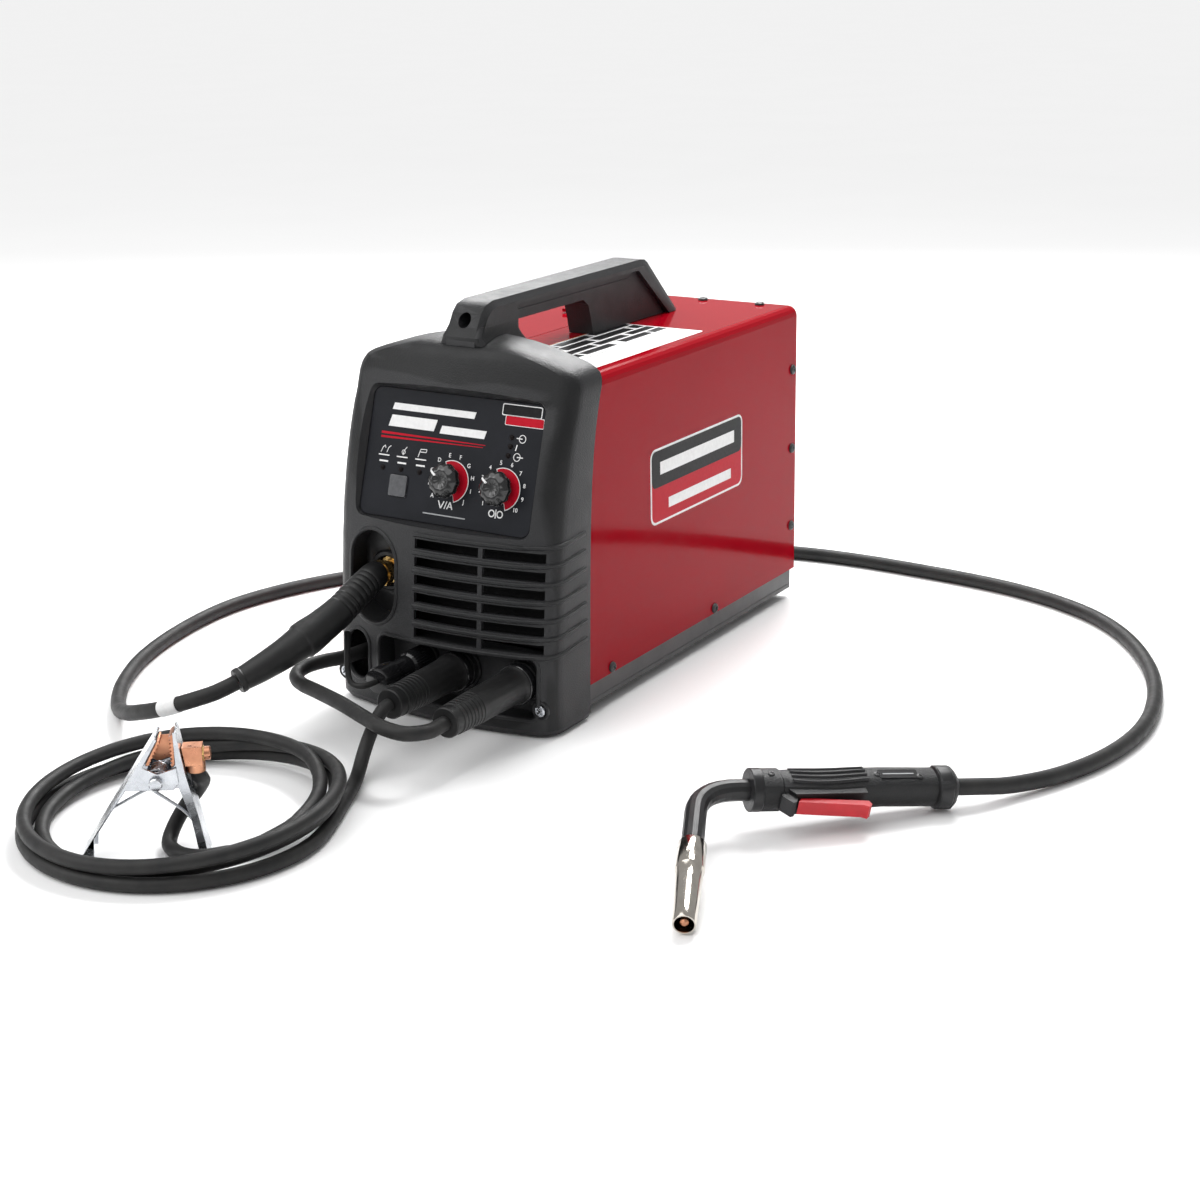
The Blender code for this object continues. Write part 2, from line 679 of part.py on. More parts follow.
def inner_frame():
    divider = along_x(
        "centre_divider",
        side_outline([(16, 11.5), (367, 11.5), (367, 280), (40, 280), (30, 250), (16, 235)]),
        DIVIDER_X - 0.75 * MM, DIVIDER_X + 0.75 * MM, "steel",
    )
    for y, z, radius in ((60, 98, 4), (230, 150, 4)):
        cut(divider, along_x(
            "divider_hole", circle((from_seam(y), z * MM), radius * MM, 12), -40 * MM, 0.0, "steel"
        ))
    box("transformer", (5 * MM, 85 * MM), (from_seam(150), from_seam(230)), (11.5 * MM, 74 * MM), "winding")
    fins = [(0, 150), (0, 84.5), (90, 84.5), (90, 150)]
    for fin in range(7):
        right = 86 - 12 * fin
        fins += [(right, 150), (right, 92), (right - 8, 92), (right - 8, 150)]
    module = along_y("inverter_module", mm_outline(fins), from_seam(130), from_seam(290), "aluminium")
    board = box(
        "power_board", (-15 * MM, 96 * MM), (from_seam(120), from_seam(318)), (83 * MM, 85 * MM), "board"
    )
    fuse(module, board)


def cooling_fan():
    centre = (45 * MM, 140 * MM)
    rear = REAR_Y - 4 * MM
    frame = along_y(
        "fan_frame", rounded(centre, 56 * MM, 56 * MM, 6 * MM, 2), rear - 25 * MM, rear, "black_plastic"
    )
    cut(frame, along_y("fan_bore", circle(centre, 52 * MM, 28), rear - 30 * MM, rear - 3 * MM, "steel"))
    for row in range(4):
        angle = math.pi / 4 + math.pi / 2 * row
        at = (centre[0] + 30 * MM * math.cos(angle), centre[1] + 30 * MM * math.sin(angle))
        cut(frame, along_y("fan_window", circle(at, 19 * MM, 14), rear - 5 * MM, rear + MM, "steel"))
    axis_y = rear - 14 * MM
    rotor = turned(
        "fan_rotor", mm_outline([(0, -10), (18, -10), (18, 9), (0, 9)]), (centre[0], axis_y, centre[1]),
        (0, 1, 0), "black_plastic", 14,
    )
    blades = 7
    for blade in range(blades):
        angle = 2 * math.pi * blade / blades
        out = Vector((math.cos(angle), 0, math.sin(angle)))
        along = Vector((-math.sin(angle), 1.1, math.cos(angle))).normalized()
        thick = out.cross(along)
        middle = Vector((centre[0], axis_y, centre[1])) + out * 32 * MM
        outline = [(-17 * MM, -9 * MM), (17 * MM, -9 * MM), (17 * MM, 9 * MM), (-17 * MM, 9 * MM)]
        fuse(rotor, extrude("fan_blade", outline, middle, out, thick.cross(out), -MM, MM, "black_plastic"))


def wire_drive():
    plate = along_x(
        "drive_body",
        side_outline([
            (25, 76), (30, 70), (116, 70), (122, 76), (122, 132), (112, 152), (30, 152), (25, 147)
        ]),
        -40 * MM, DIVIDER_X - MM, "aluminium",
    )
    receiver = box(
        "gun_receiver", (-86 * MM, -30 * MM), (from_seam(-2), from_seam(24)), (96 * MM, 130 * MM), "aluminium"
    )
    fuse(plate, receiver)
    fuse(plate, box(
        "receiver_web", (-40 * MM, -26 * MM), (from_seam(20), from_seam(40)), (96 * MM, 130 * MM), "aluminium"
    ))
    bore = circle((WIRE_X, WIRE_Z), 12.3 * MM, 16)
    cut(plate, along_y("receiver_bore", bore, from_seam(-9), from_seam(24.6), "steel"))
    screw_at = (from_seam(11), WIRE_Z)
    cut(plate, along_x("screw_bore", circle(screw_at, 3.3 * MM, 12), -95 * MM, WIRE_X, "steel"))
    roll_at = (from_seam(60), WIRE_Z - 15 * MM)
    cut(plate, along_x("shaft_way", circle(roll_at, 4 * MM, 12), -60 * MM, 0.0, "steel"))
    arm_pivot = (from_seam(34), WIRE_Z + 27 * MM)
    fuse(plate, along_x("arm_pin", circle(arm_pivot, 3 * MM, 12), -59 * MM, -30 * MM, "steel"))
    swing_pivot = (from_seam(88), WIRE_Z - 22 * MM)
    fuse(plate, along_x("swing_pin", circle(swing_pivot, 2 * MM, 10), -56 * MM, -30 * MM, "steel"))
    inlet = box(
        "inlet_bracket", (-74 * MM, -30 * MM), (from_seam(98), from_seam(108)), (80 * MM, 88 * MM),
        "aluminium",
    )
    fuse(plate, inlet)
    post = box(
        "inlet_post", (-74 * MM, -60 * MM), (from_seam(98), from_seam(108)), (82 * MM, 121 * MM), "aluminium"
    )
    fuse(plate, post)
    cut(plate, along_y(
        "wire_way", circle((WIRE_X - MM, WIRE_Z), 1.6 * MM, 8), from_seam(90), from_seam(116), "steel"
    ))
    roll = mm_outline([(0, 36), (3, 36), (3, 0.5), (6, 0.5), (6, -2), (14, -2), (14, -8), (13, -9), (14, -10),
                       (14, -14), (6, -14), (5, -18), (0, -18)])
    turned("drive_roll", roll, (-58 * MM, *roll_at), (1, 0, 0), "steel", 20)
    motor = turned(
        "drive_motor", mm_outline([(0, 3), (21, 3), (21, 66), (19, 68), (7, 68), (7, 73), (0, 73)]),
        (0, from_seam(62), 98 * MM), (1, 0, 0), "steel", 20,
    )
    fuse(motor, box(
        "gearbox", (-20.8 * MM, 4 * MM), (from_seam(38), from_seam(86)), (70 * MM, 124 * MM), "steel"
    ))
    pressure_arm(arm_pivot)
    tension_knob(swing_pivot)


def pressure_arm(pivot):
    arm = along_x(
        "pressure_arm",
        side_outline([(27, 134), (41, 133), (50, 137), (52, 117), (68, 117), (71, 138), (92, 142), (92, 148),
                      (60, 152), (34, 148), (27, 146)]),
        -57.5 * MM, -44 * MM, "aluminium", (-50 * MM, *pivot),
    )
    cut(arm, along_x("arm_bore", circle(pivot, 3.3 * MM, 12), -70 * MM, -30 * MM, "steel"))
    axle_at = (from_seam(60), WIRE_Z + 11 * MM)
    cut(arm, along_x("axle_bore", circle(axle_at, 2.8 * MM, 12), -70 * MM, -30 * MM, "steel"))
    cut(arm, box(
        "arm_slot", (-54 * MM, -48 * MM), (from_seam(80), from_seam(99)), (130 * MM, 160 * MM), "steel"
    ))
    idler = mm_outline([(0, 12), (2.5, 12), (2.5, -1.5), (4, -1.5), (4, -2), (10, -2), (10, -14), (3, -14),
                        (3, -16), (0, -16)])
    turned("idler_roll", idler, (-58 * MM, *axle_at), (1, 0, 0), "steel", 16)


def tension_knob(pivot):
    """Threaded rod on a swing eye, with the knob that loads the pressure arm."""
    rise = 61 * MM
    profile = [(0, 3 * MM), (2.4 * MM, 3 * MM), (2.4 * MM, rise), (7 * MM, rise)]
    profile += [(9 * MM, rise + 3 * MM), (9 * MM, rise + 20 * MM)]
    profile += [(7 * MM, rise + 23 * MM), (0, rise + 23 * MM)]
    knob = turned("tension_knob", profile, (-51 * MM, *pivot), (0, 0, 1), "black_plastic", 14)
    fuse(knob, along_x("swing_eye", circle(pivot, 4.6 * MM, 14), -53.5 * MM, -48.5 * MM, "black_plastic"))
    cut(knob, along_x("swing_bore", circle(pivot, 2.3 * MM, 14), -70 * MM, -30 * MM, "black_plastic"))


def gun_receiver():
    receiver = mm_outline([(5, -36), (12, -36), (12, 23), (5, 23)])
    turned("gun_socket", receiver, (WIRE_X, SEAM_Y, WIRE_Z), (0, 1, 0), "brass", 16)
    screw = mm_outline([(0, 0.4), (3, 0.4), (3, 9), (9, 9), (9, 18), (7, 20), (0, 20)])
    turned(
        "gun_thumbscrew", screw, (WIRE_X - 12 * MM, from_seam(11), WIRE_Z), (-1, 0, 0), "black_plastic", 14
    )


def spool_support():
    centre = (DIVIDER_X - MM, from_seam(230), 150 * MM)
    axle = mm_outline([(0, 0), (14, 0), (14, 3), (6, 3), (6, 68), (0, 68)])
    turned("spool_axle", axle, centre, (-1, 0, 0), "steel", 16)
    hub = mm_outline([(6.3, 4), (32, 4), (32, 8), (24, 8), (24, 52), (21, 56), (6.3, 56)])
    turned("spool_hub", hub, centre, (-1, 0, 0), "black_plastic", 20)
    nut = turned(
        "spool_brake_nut", mm_outline([(6.3, 56.5), (14, 56.5), (14, 61), (10, 66), (6.3, 66)]), centre,
        (-1, 0, 0), "black_plastic", 12,
    )
    wings = box(
        "nut_wings", (centre[0] - 65 * MM, centre[0] - 57 * MM), (from_seam(210), from_seam(250)),
        (147.5 * MM, 152.5 * MM), "black_plastic",
    )
    fuse(nut, wings)
    cut(nut, along_x("nut_bore", circle((centre[1], centre[2]), 6.3 * MM, 12), -110 * MM, -30 * MM, "steel"))


# ---------------------------------------------------------------- sockets, plugs and leads


def output_sockets():
    face = SOCKET_FLOOR_Y
    ring = mm_outline([(8, -8), (17, -8), (17, -0.3), (14.5, -0.3), (14.5, 20), (8, 20)])
    for name, at in (("positive_socket", POSITIVE_AT), ("negative_socket", NEGATIVE_AT)):
        turned(name, ring, (at[0], face, at[1]), (0, 1, 0), "black_plastic", 20)
    ring = mm_outline([(6, -4), (12.5, -4), (12.5, -0.3), (10, -0.3), (10, 12), (6, 12)])
    turned("trigger_socket", ring, (TRIGGER_AT[0], face, TRIGGER_AT[1]), (0, 1, 0), "black_plastic", 16)


PLUG_FACE_Y = SOCKET_FLOOR_Y - 8 * MM - GAP


def plugs():
    for name, at, length in (("polarity_plug", POSITIVE_AT, 103), ("work_plug", NEGATIVE_AT, 92)):
        shell = mm_outline([
            (0, 12), (7.5, 12), (7.5, 0), (16, 0), (16, -10), (14.8, -12), (14, -45), (13, -length + 25),
            (12.6, -length), (0, -length),
        ])
        turned(name, shell, (at[0], PLUG_FACE_Y, at[1]), (0, 1, 0), "rubber", 20)
    trigger = mm_outline([
        (0, 6), (5.6, 6), (5.6, 0), (11.5, 0), (11.5, -24), (9.5, -26), (9.5, -44), (11, -46), (11, -66),
        (0, -66),
    ])
    place = (TRIGGER_AT[0], SOCKET_FLOOR_Y - 4 * MM - GAP, TRIGGER_AT[1])
    turned("trigger_plug", trigger, place, (0, 1, 0), "black_plastic", 16)


def route(points):
    """A route in millimetres, measured sideways, back from the seam, and up."""
    return [Vector((x * MM, from_seam(y), z * MM)) for x, y, z in points]


def gun_boot_path():
    return route([
        (-66, -57.4, 113), (-66, -62, 113), (-67, -84, 104.5), (-70, -101, 95), (-73, -116, 88.5),
        (-76.5, -131, 82.5), (-83, -156, 73.5), (-91, -178, 65.5), (-100, -197, 58.5),
    ])


def gun_cable_path():
    return route([
        (-100.25, -197.6, 58.2), (-109, -213, 53), (-126, -227, 47), (-150, -232, 38), (-178, -228, 28.5),
        (-206, -216, 18.5), (-233, -198, 10.5), (-260, -172, 7.2), (-287, -137, 6.8), (-316, -83, 6.8),
        (-338, -12, 6.8), (-346, 62, 6.8), (-333, 130, 6.8), (-303, 195, 6.8), (-254, 270, 6.8),
        (-190, 348, 6.8), (-110, 418, 6.8), (-25, 464, 6.8), (60, 485, 6.8), (125, 490, 6.8),
        (192, 487, 6.8), (252, 481, 6.8), (302, 471, 6.8), (350, 453, 6.8), (397, 424, 6.8),
        (440, 378, 6.8), (478, 315, 6.8), (503, 247, 6.8), (514, 178, 6.8), (508, 112, 6.8),
        (490, 57, 7.4), (468, 15, 10.2), (452.5, -8.5, 14.4), (436.3, -25.7, 17),
    ])


def polarity_path():
    return route([
        (-78, 12, 95.6), (-78, 12, 83), (-80, 2, 60), (-81, -16, 48.5), (-81, -38, 45.5), (-81.5, -64, 45.5),
        (-85, -84, 46), (-92, -99, 46.5), (-96.5, -117, 46.5), (-92, -135, 46), (-76, -149, 46),
        (-48, -160, 47), (-15, -173, 48), (18, -186, 47), (45, -198, 48), (65, -197, 46.5),
        (76, -183, 45.2), (77, -170, 45), (77, -161.9, 45),
    ])


def work_lead_path():
    return route([
        (15, -151, 45), (15, -157, 44.3), (15.3, -166, 39.5), (16, -176, 31), (17.5, -186, 21.5),
        (20, -195, 13.4), (24, -204.5, 8), (28.3, -213.8, 6.2),
    ])


def work_tail_path():
    """From the coil, in between the clamp's legs, and up behind its right leg to the lug."""
    floor = WORK_R + 0.7 * MM
    start = Vector((38 * MM, from_seam(-349), floor))
    places = [
        (40, 19, 6.2), (24, 22.8, 6.2), (13, 20.5, 6.2), (4, 13.5, 6.2), (-2, 3, 6.3), (-3.5, -7, 7.2),
        (-1, -16.5, 12.5), (5, -21, 22), (13, -21.3, 33), (19.5, -19, 42), (23, -12.5, 50), (21.5, -4, 57),
        (20.5, -1.5, 62.5), (20.5, -1.5, 67.6),
    ]
    return [start] + [clamp_place(across, up, through) for across, through, up in places]


def trigger_lead_path():
    return route([
        (-67.5, -97, 75.5), (-62.5, -104, 66), (-52, -118, 55), (-37, -133, 48.5), (-25.5, -134, 47.5),
        (-21.5, -126.5, 47.9), (-21, -120.7, 48),
    ])


def leads():
    boot = gun_boot_path()
    end = mm_outline([(0, 0), (8.5, 0), (8.5, 8), (9.5, 9), (9.5, 20.7), (0, 20.7)])
    turned("gun_brass_end", end, (WIRE_X, from_seam(-36.3), WIRE_Z), (0, -1, 0), "brass", 16)
    radii = [r * MM for r in (12, 12.3, 12.8, 13.4, 14.2, 15.4, 13.6, 11.6, 9.8)]
    sweep("gun_boot", boot, radii, "rubber", 16)
    cord("gun_cable", gun_cable_path(), GUN_CABLE_R, 32 * MM, sides=2)
    cord("polarity_lead", polarity_path(), POLARITY_R, 18 * MM, sides=2)
    cord("work_lead", work_lead_path(), WORK_R, 12 * MM, sides=2)
    cord("work_lead_tail", work_tail_path(), WORK_R, 14 * MM, sides=2)
    cord("trigger_lead", trigger_lead_path(), TRIGGER_LEAD_R, 8 * MM, sides=2)
    inner, outer, top = COIL_INNER, COIL_OUTER, COIL_HEIGHT
    edge = 5 * MM
    low = GAP
    coil = [(inner, low + edge), (inner + edge, low), (outer - edge, low), (outer, low + edge)]
    coil += [(outer, top - edge), (outer - edge, top), (inner + edge, top), (inner, top - edge)]
    turned("work_lead_coil", coil, (*COIL_CENTRE, 0), (0, 0, 1), "rubber", 32)


# ---------------------------------------------------------------- gun


GUN_FRONT = Vector((325.4 * MM, from_seam(-136.5), 33 * MM))
GUN_REAR = Vector((436.1 * MM, from_seam(-25.9), 17 * MM))
NOZZLE_REAR = Vector((330.1 * MM, from_seam(-226.7), 25.5 * MM))
NOZZLE_TIP = Vector((364.7 * MM, from_seam(-298.9), 8.8 * MM))
GUN_BACK = (GUN_REAR - GUN_FRONT).normalized()
NOZZLE_OUT = (NOZZLE_TIP - NOZZLE_REAR).normalized()
GUN_DOWN = (NOZZLE_OUT - GUN_BACK * NOZZLE_OUT.dot(GUN_BACK)).normalized()
GUN_SIDE = GUN_BACK.cross(GUN_DOWN)
GUN_LENGTH = (GUN_REAR - GUN_FRONT).length


def gun_place(back, down, side=0.0):
    """A place on the gun: back along the grip, out towards the trigger, and sideways."""
    return GUN_FRONT + GUN_BACK * back + GUN_DOWN * down + GUN_SIDE * side


def grip_ring(back, half_side, up, down, power=3.0, count=16):
    """Grip section: a rounded rectangle, from up behind the axis to down on the trigger side."""
    ring = []
    middle, half = (down - up) / 2, (down + up) / 2
    for i in range(count):
        angle = 2 * math.pi * i / count
        c, s = math.cos(angle), math.sin(angle)
        reach = (abs(c) ** power + abs(s) ** power) ** (-1 / power)
        ring.append(gun_place(back, middle + half * reach * s, half_side * reach * c))
    return ring


TRIGGER_BACK = 34 * MM
TRIGGER_DOWN = 19 * MM


def gun():
    sections = [(0, 14, 14, 14), (22, 14, 14, 14), (23, 13, 12.5, 13), (60, 13, 14, 15), (100, 12.5, 15, 12),
                (GUN_LENGTH / MM - 16, 12.5, 14, 12.5), (GUN_LENGTH / MM - 15, 14.5, 14.5, 14.5),
                (GUN_LENGTH / MM - 3, 14.5, 14.5, 14.5), (GUN_LENGTH / MM, 12, 12, 12)]
    rings = [grip_ring(b * MM, s * MM, u * MM, d * MM) for b, s, u, d in sections]
    grip = loft("gun_handle", rings, "black_plastic")
    guard = [(20, 10), (33, 10), (33, 14), (29, 23), (26, 24), (20, 16)]
    fuse(grip, gun_slab("trigger_guard", guard, 6.5 * MM, "black_plastic"))
    housing = [(25, 10), (84, 8), (84, 17), (30, 17.5)]
    fuse(grip, gun_slab("trigger_housing", housing, 9 * MM, "black_plastic"))
    origin = gun_place(TRIGGER_BACK, TRIGGER_DOWN)
    trigger = [(33.5, 18.3), (45, 18.4), (80, 21.5), (84, 21.9), (85, 26), (82, 29), (78, 26.8), (45, 23.5),
               (31, 22)]
    gun_slab("gun_trigger", trigger, 5.5 * MM, "trigger_red", origin)
    neck()


def gun_slab(name, outline, half, look, origin=(0, 0, 0)):
    """A slab in the gun's own plane: outline of (back, down) points in millimetres."""
    rings = [[gun_place(b * MM, d * MM, w) for b, d in outline] for w in (-half, half)]
    return loft(name, rings, look, origin)


def neck():
    """Bent tube between grip and nozzle, then nozzle and contact tip on its end."""
    start = GUN_FRONT - GUN_BACK * GAP
    corner = start - GUN_BACK * 37 * MM
    rear = NOZZLE_REAR
    into = (rear - corner).normalized()
    blend = 29 * MM
    path = [start, start - GUN_BACK * 4 * MM]
    for step in range(9):
        t = step / 8
        a = corner + GUN_BACK * blend * (1 - t)
        b = corner + into * blend * t
        path.append(a * (1 - t) + b * t)
    path.append(rear - into * 6 * MM)
    path.append(rear + into * 4 * MM)
    sweep("gun_neck", path, [8 * MM] * (len(path) - 2) + [8 * MM, 7 * MM], "black_plastic", 14)
    length = (NOZZLE_TIP - rear).length
    nozzle = [
        (8.3 * MM, -2 * MM), (10.2 * MM, -2 * MM), (10.2 * MM, 26 * MM), (7.9 * MM, length),
        (6.4 * MM, length), (8.3 * MM, 26 * MM),
    ]
    turned("gun_nozzle", nozzle, rear, NOZZLE_OUT, "nickel", 20)
    tip = [(0, 6 * MM), (4.5 * MM, 6 * MM), (4.5 * MM, 45 * MM), (3 * MM, 50 * MM), (3 * MM, length - 2 * MM)]
    tip += [(1.6 * MM, length - 0.5 * MM), (0, length - 0.5 * MM)]
    turned("contact_tip", tip, rear, NOZZLE_OUT, "copper", 12)


# ---------------------------------------------------------------- work clamp


CLAMP_BASE = Vector((-13.3 * MM, from_seam(-368), 0))
CLAMP_ACROSS = Vector((0.79, 0.613, 0)).normalized()
CLAMP_THROUGH = Vector((CLAMP_ACROSS.y, -CLAMP_ACROSS.x, 0))
CLAMP_PIVOT = (-6.5, 59.5)


def clamp_place(across, up, through=0.0):
    """A place on the clamp: across its spread legs, up, and through its thickness."""
    return CLAMP_BASE + CLAMP_ACROSS * across * MM + Vector((0, 0, up * MM)) + CLAMP_THROUGH * through * MM


def clamp_slab(name, outline, low, high, look, origin=(0, 0, 0)):
    """A slab across the clamp's plane, from low to high through its thickness."""
    rings = [[clamp_place(a, z, w) for a, z in outline] for w in (low, high)]
    return loft(name, rings, look, origin)


def work_clamp():
    pivot = clamp_place(*CLAMP_PIVOT)
    left = clamp_slab(
        "clamp_arm_left",
        [(-63, 6), (-54, 5), (-52.5, 20), (-28, 55), (5, 53.5), (9, 58), (8, 70), (-5, 66), (-15, 71.5),
         (-3.6, 91.2), (-5.5, 92.5)],
        -13, 13, "zinc", pivot,
    )
    cut(left, clamp_slab(
        "left_channel", [(-67.5, -3.5), (40, -3.5), (40, 96.3), (-1.2, 96.3)], -11.5, 11.5, "zinc"
    ))
    right = clamp_slab(
        "clamp_arm_right",
        [(9.5, 95.5), (13.6, 64.8), (20.4, 32.2), (25.5, 0.5), (19.5, 0.5), (14.8, 32.6), (8.5, 54),
         (-9, 54), (-13, 57), (-13, 63), (-9, 66.5), (5, 68), (7.6, 72), (7.4, 95.5)],
        -10.8, 10.8, "zinc", pivot,
    )
    cut(right, clamp_slab(
        "right_channel", [(8.0, 98), (12.1, 64.7), (18.9, 32), (24.6, -3), (-40, -3), (-40, 98)], -9.4, 9.4,
        "zinc",
    ))
    for arm in (left, right):
        bore = extrude(
            "pivot_bore", circle((0, 0), 3.3 * MM, 12), pivot, CLAMP_ACROSS, (0, 0, 1), -20 * MM, 20 * MM,
            "zinc",
        )
        cut(arm, bore)
    pin = mm_outline([
        (0, -15.5), (5, -15.5), (5, -13.4), (3, -13.4), (3, 13.4), (5, 13.4), (5, 15.5), (0, 15.5)
    ])
    turned("clamp_pin", pin, pivot, CLAMP_THROUGH, "steel", 12)
    spring = mm_outline([(4.2, -8.5), (10.5, -8.5), (10.5, 8.5), (4.2, 8.5)])
    turned("clamp_spring", spring, pivot, CLAMP_THROUGH, "steel", 16)
    lug = [(13.6, 68), (26, 68), (26, 82), (11.9, 82)]
    clamp_slab("clamp_lug", lug, -6, 6, "copper", clamp_place(20, 75))


def main():
    for leftover in list(bpy.data.objects):
        bpy.data.objects.remove(leftover)
    front_bezel()
    control_panel()
    case_panels()
    base_pan()
    rear_panel()
    rear_fittings()
    carry_handle()
    inner_frame()
    cooling_fan()
    wire_drive()
    gun_receiver()
    spool_support()
    output_sockets()
    plugs()
    leads()
    gun()
    work_clamp()


main()
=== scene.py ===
"""The wire-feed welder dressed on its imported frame: cords, detail pieces and procedural materials."""

import json
import math

import bmesh
import bpy
from mathutils import Matrix, Vector
from mathutils.bvhtree import BVHTree

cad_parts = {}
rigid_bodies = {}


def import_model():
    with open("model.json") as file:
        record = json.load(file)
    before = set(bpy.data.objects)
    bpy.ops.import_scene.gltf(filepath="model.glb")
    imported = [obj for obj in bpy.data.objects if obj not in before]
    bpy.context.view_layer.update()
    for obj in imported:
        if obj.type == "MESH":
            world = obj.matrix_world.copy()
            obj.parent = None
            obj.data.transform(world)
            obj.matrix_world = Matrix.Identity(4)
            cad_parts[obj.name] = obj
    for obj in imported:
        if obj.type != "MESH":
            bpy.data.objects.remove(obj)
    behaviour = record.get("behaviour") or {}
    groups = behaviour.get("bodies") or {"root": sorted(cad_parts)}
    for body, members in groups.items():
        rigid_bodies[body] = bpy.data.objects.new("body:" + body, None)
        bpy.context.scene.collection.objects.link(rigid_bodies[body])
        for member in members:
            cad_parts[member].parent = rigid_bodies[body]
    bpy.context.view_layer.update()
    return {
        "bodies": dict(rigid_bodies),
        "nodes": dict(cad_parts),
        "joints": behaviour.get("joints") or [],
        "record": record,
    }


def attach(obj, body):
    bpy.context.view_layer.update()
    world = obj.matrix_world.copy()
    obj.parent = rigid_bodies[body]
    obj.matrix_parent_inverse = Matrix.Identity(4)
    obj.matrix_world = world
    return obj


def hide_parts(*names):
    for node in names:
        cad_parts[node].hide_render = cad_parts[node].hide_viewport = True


for leftover in list(bpy.data.objects):
    bpy.data.objects.remove(leftover)
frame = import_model()
NODES = frame["nodes"]
MM = 0.001
SEAM_Y = -157 * MM  # where the front moulding meets the case
FRONT, REAR = -75, 371.6  # from the seam, in millimetres
X, Y, Z = Vector((1, 0, 0)), Vector((0, 1, 0)), Vector((0, 0, 1))


def from_seam(y_mm):
    return SEAM_Y + y_mm * MM


def at_mm(x, y, z):
    """A place in millimetres, with y measured back from the seam."""
    return Vector((x * MM, from_seam(y), z * MM))


def route(points):
    return [at_mm(*point) for point in points]


PANEL_CENTRE = at_mm(0, -36, 215)
PANEL_LEAN = math.radians(17.3)
PANEL_UP = Vector((0, math.sin(PANEL_LEAN), math.cos(PANEL_LEAN)))
PANEL_OUT = Vector((0, -math.cos(PANEL_LEAN), math.sin(PANEL_LEAN)))
PANEL = (PANEL_CENTRE, X, PANEL_UP)
OUTPUT_KNOB = (3.5, -16.9)
SPEED_KNOB = (53.7, -17.2)
CLAMP_BASE = at_mm(-13.3, -368, 0)
CLAMP_ACROSS = Vector((0.79, 0.613, 0)).normalized()
CLAMP_THROUGH = Vector((CLAMP_ACROSS.y, -CLAMP_ACROSS.x, 0))
GUN_FRONT = at_mm(325.4, -136.5, 33)
GUN_REAR = at_mm(436.1, -25.9, 17)
NOZZLE_REAR = at_mm(330.1, -226.7, 25.5)
NOZZLE_TIP = at_mm(364.7, -298.9, 8.8)
GUN_BACK = (GUN_REAR - GUN_FRONT).normalized()
NOZZLE_OUT = (NOZZLE_TIP - NOZZLE_REAR).normalized()
GUN_DOWN = (NOZZLE_OUT - GUN_BACK * NOZZLE_OUT.dot(GUN_BACK)).normalized()
GUN_SIDE = GUN_BACK.cross(GUN_DOWN)
GRIP = (GUN_REAR - GUN_FRONT).length / MM
NOZZLE = (NOZZLE_TIP - NOZZLE_REAR).length / MM
CAMERA_PLACE = (0.9426, -1.470, 0.6113)
CAMERA_TURN = (32.133, 18.11, -1.129)  # azimuth, elevation and roll in degrees
LENS, SENSOR = 60.357, 36
WORLD_LIGHT, SUN_LIGHT, SUN_SPREAD, BACKDROP_LIGHT = 0.44, 1.85, 70, 0.88
FLOOR_REACH, BACKDROP_REACH, BACKDROP_HEIGHT = 90, 88, 6  # metres
PRINT_LOW, PRINT_HIGH, OVERPRINT = -0.05, 0.12, 0.2  # heights over the face, in millimetres
GUN_CABLE_D, POLARITY_D, TRIGGER_D, WORK_LEAD_D = 13, 12, 5, 11


def panel_point(at, out=0.0):
    """A place on the control panel, in millimetres across, up and out."""
    return PANEL_CENTRE + Vector((at[0] * MM, 0, 0)) + PANEL_UP * at[1] * MM + PANEL_OUT * out * MM


def clamp_place(across, up, through=0.0):
    """A place on the clamp, in millimetres across its legs, up, and through its thickness."""
    return CLAMP_BASE + CLAMP_ACROSS * across * MM + Vector((0, 0, up * MM)) + CLAMP_THROUGH * through * MM


def gun_place(back, down, side=0.0):
    """A place on the gun, in millimetres back along the grip, towards the trigger, and sideways."""
    return GUN_FRONT + (GUN_BACK * back + GUN_DOWN * down + GUN_SIDE * side) * MM


def linked(name, data):
    """A new object of this name in the scene."""
    made = bpy.data.objects.new(name, data)
    bpy.context.collection.objects.link(made)
    return made


# --- camera, light, floor


def camera():
    azimuth, elevation, roll = (math.radians(angle) for angle in CAMERA_TURN)
    level = math.cos(elevation)
    ahead = Vector((-math.sin(azimuth) * level, math.cos(azimuth) * level, -math.sin(elevation)))
    right = ahead.cross(Z).normalized()
    up = right.cross(ahead)
    tilted_right = right * math.cos(roll) + up * math.sin(roll)
    tilted_up = up * math.cos(roll) - right * math.sin(roll)
    data = bpy.data.cameras.new("camera")
    data.lens = LENS
    data.sensor_width = SENSOR
    data.clip_start = 0.05
    made = linked("camera", data)
    turn = Matrix((tilted_right, tilted_up, -ahead)).transposed()
    made.matrix_world = Matrix.Translation(CAMERA_PLACE) @ turn.to_4x4()
    bpy.context.scene.camera = made


def area_light(name, place, aim, size, power):
    data = bpy.data.lights.new(name, "AREA")
    data.shape = "RECTANGLE"
    data.size, data.size_y = size
    data.energy = power
    made = linked(name, data)
    made.location = place
    made.rotation_euler = (Vector(aim) - Vector(place)).to_track_quat("-Z", "Y").to_euler()


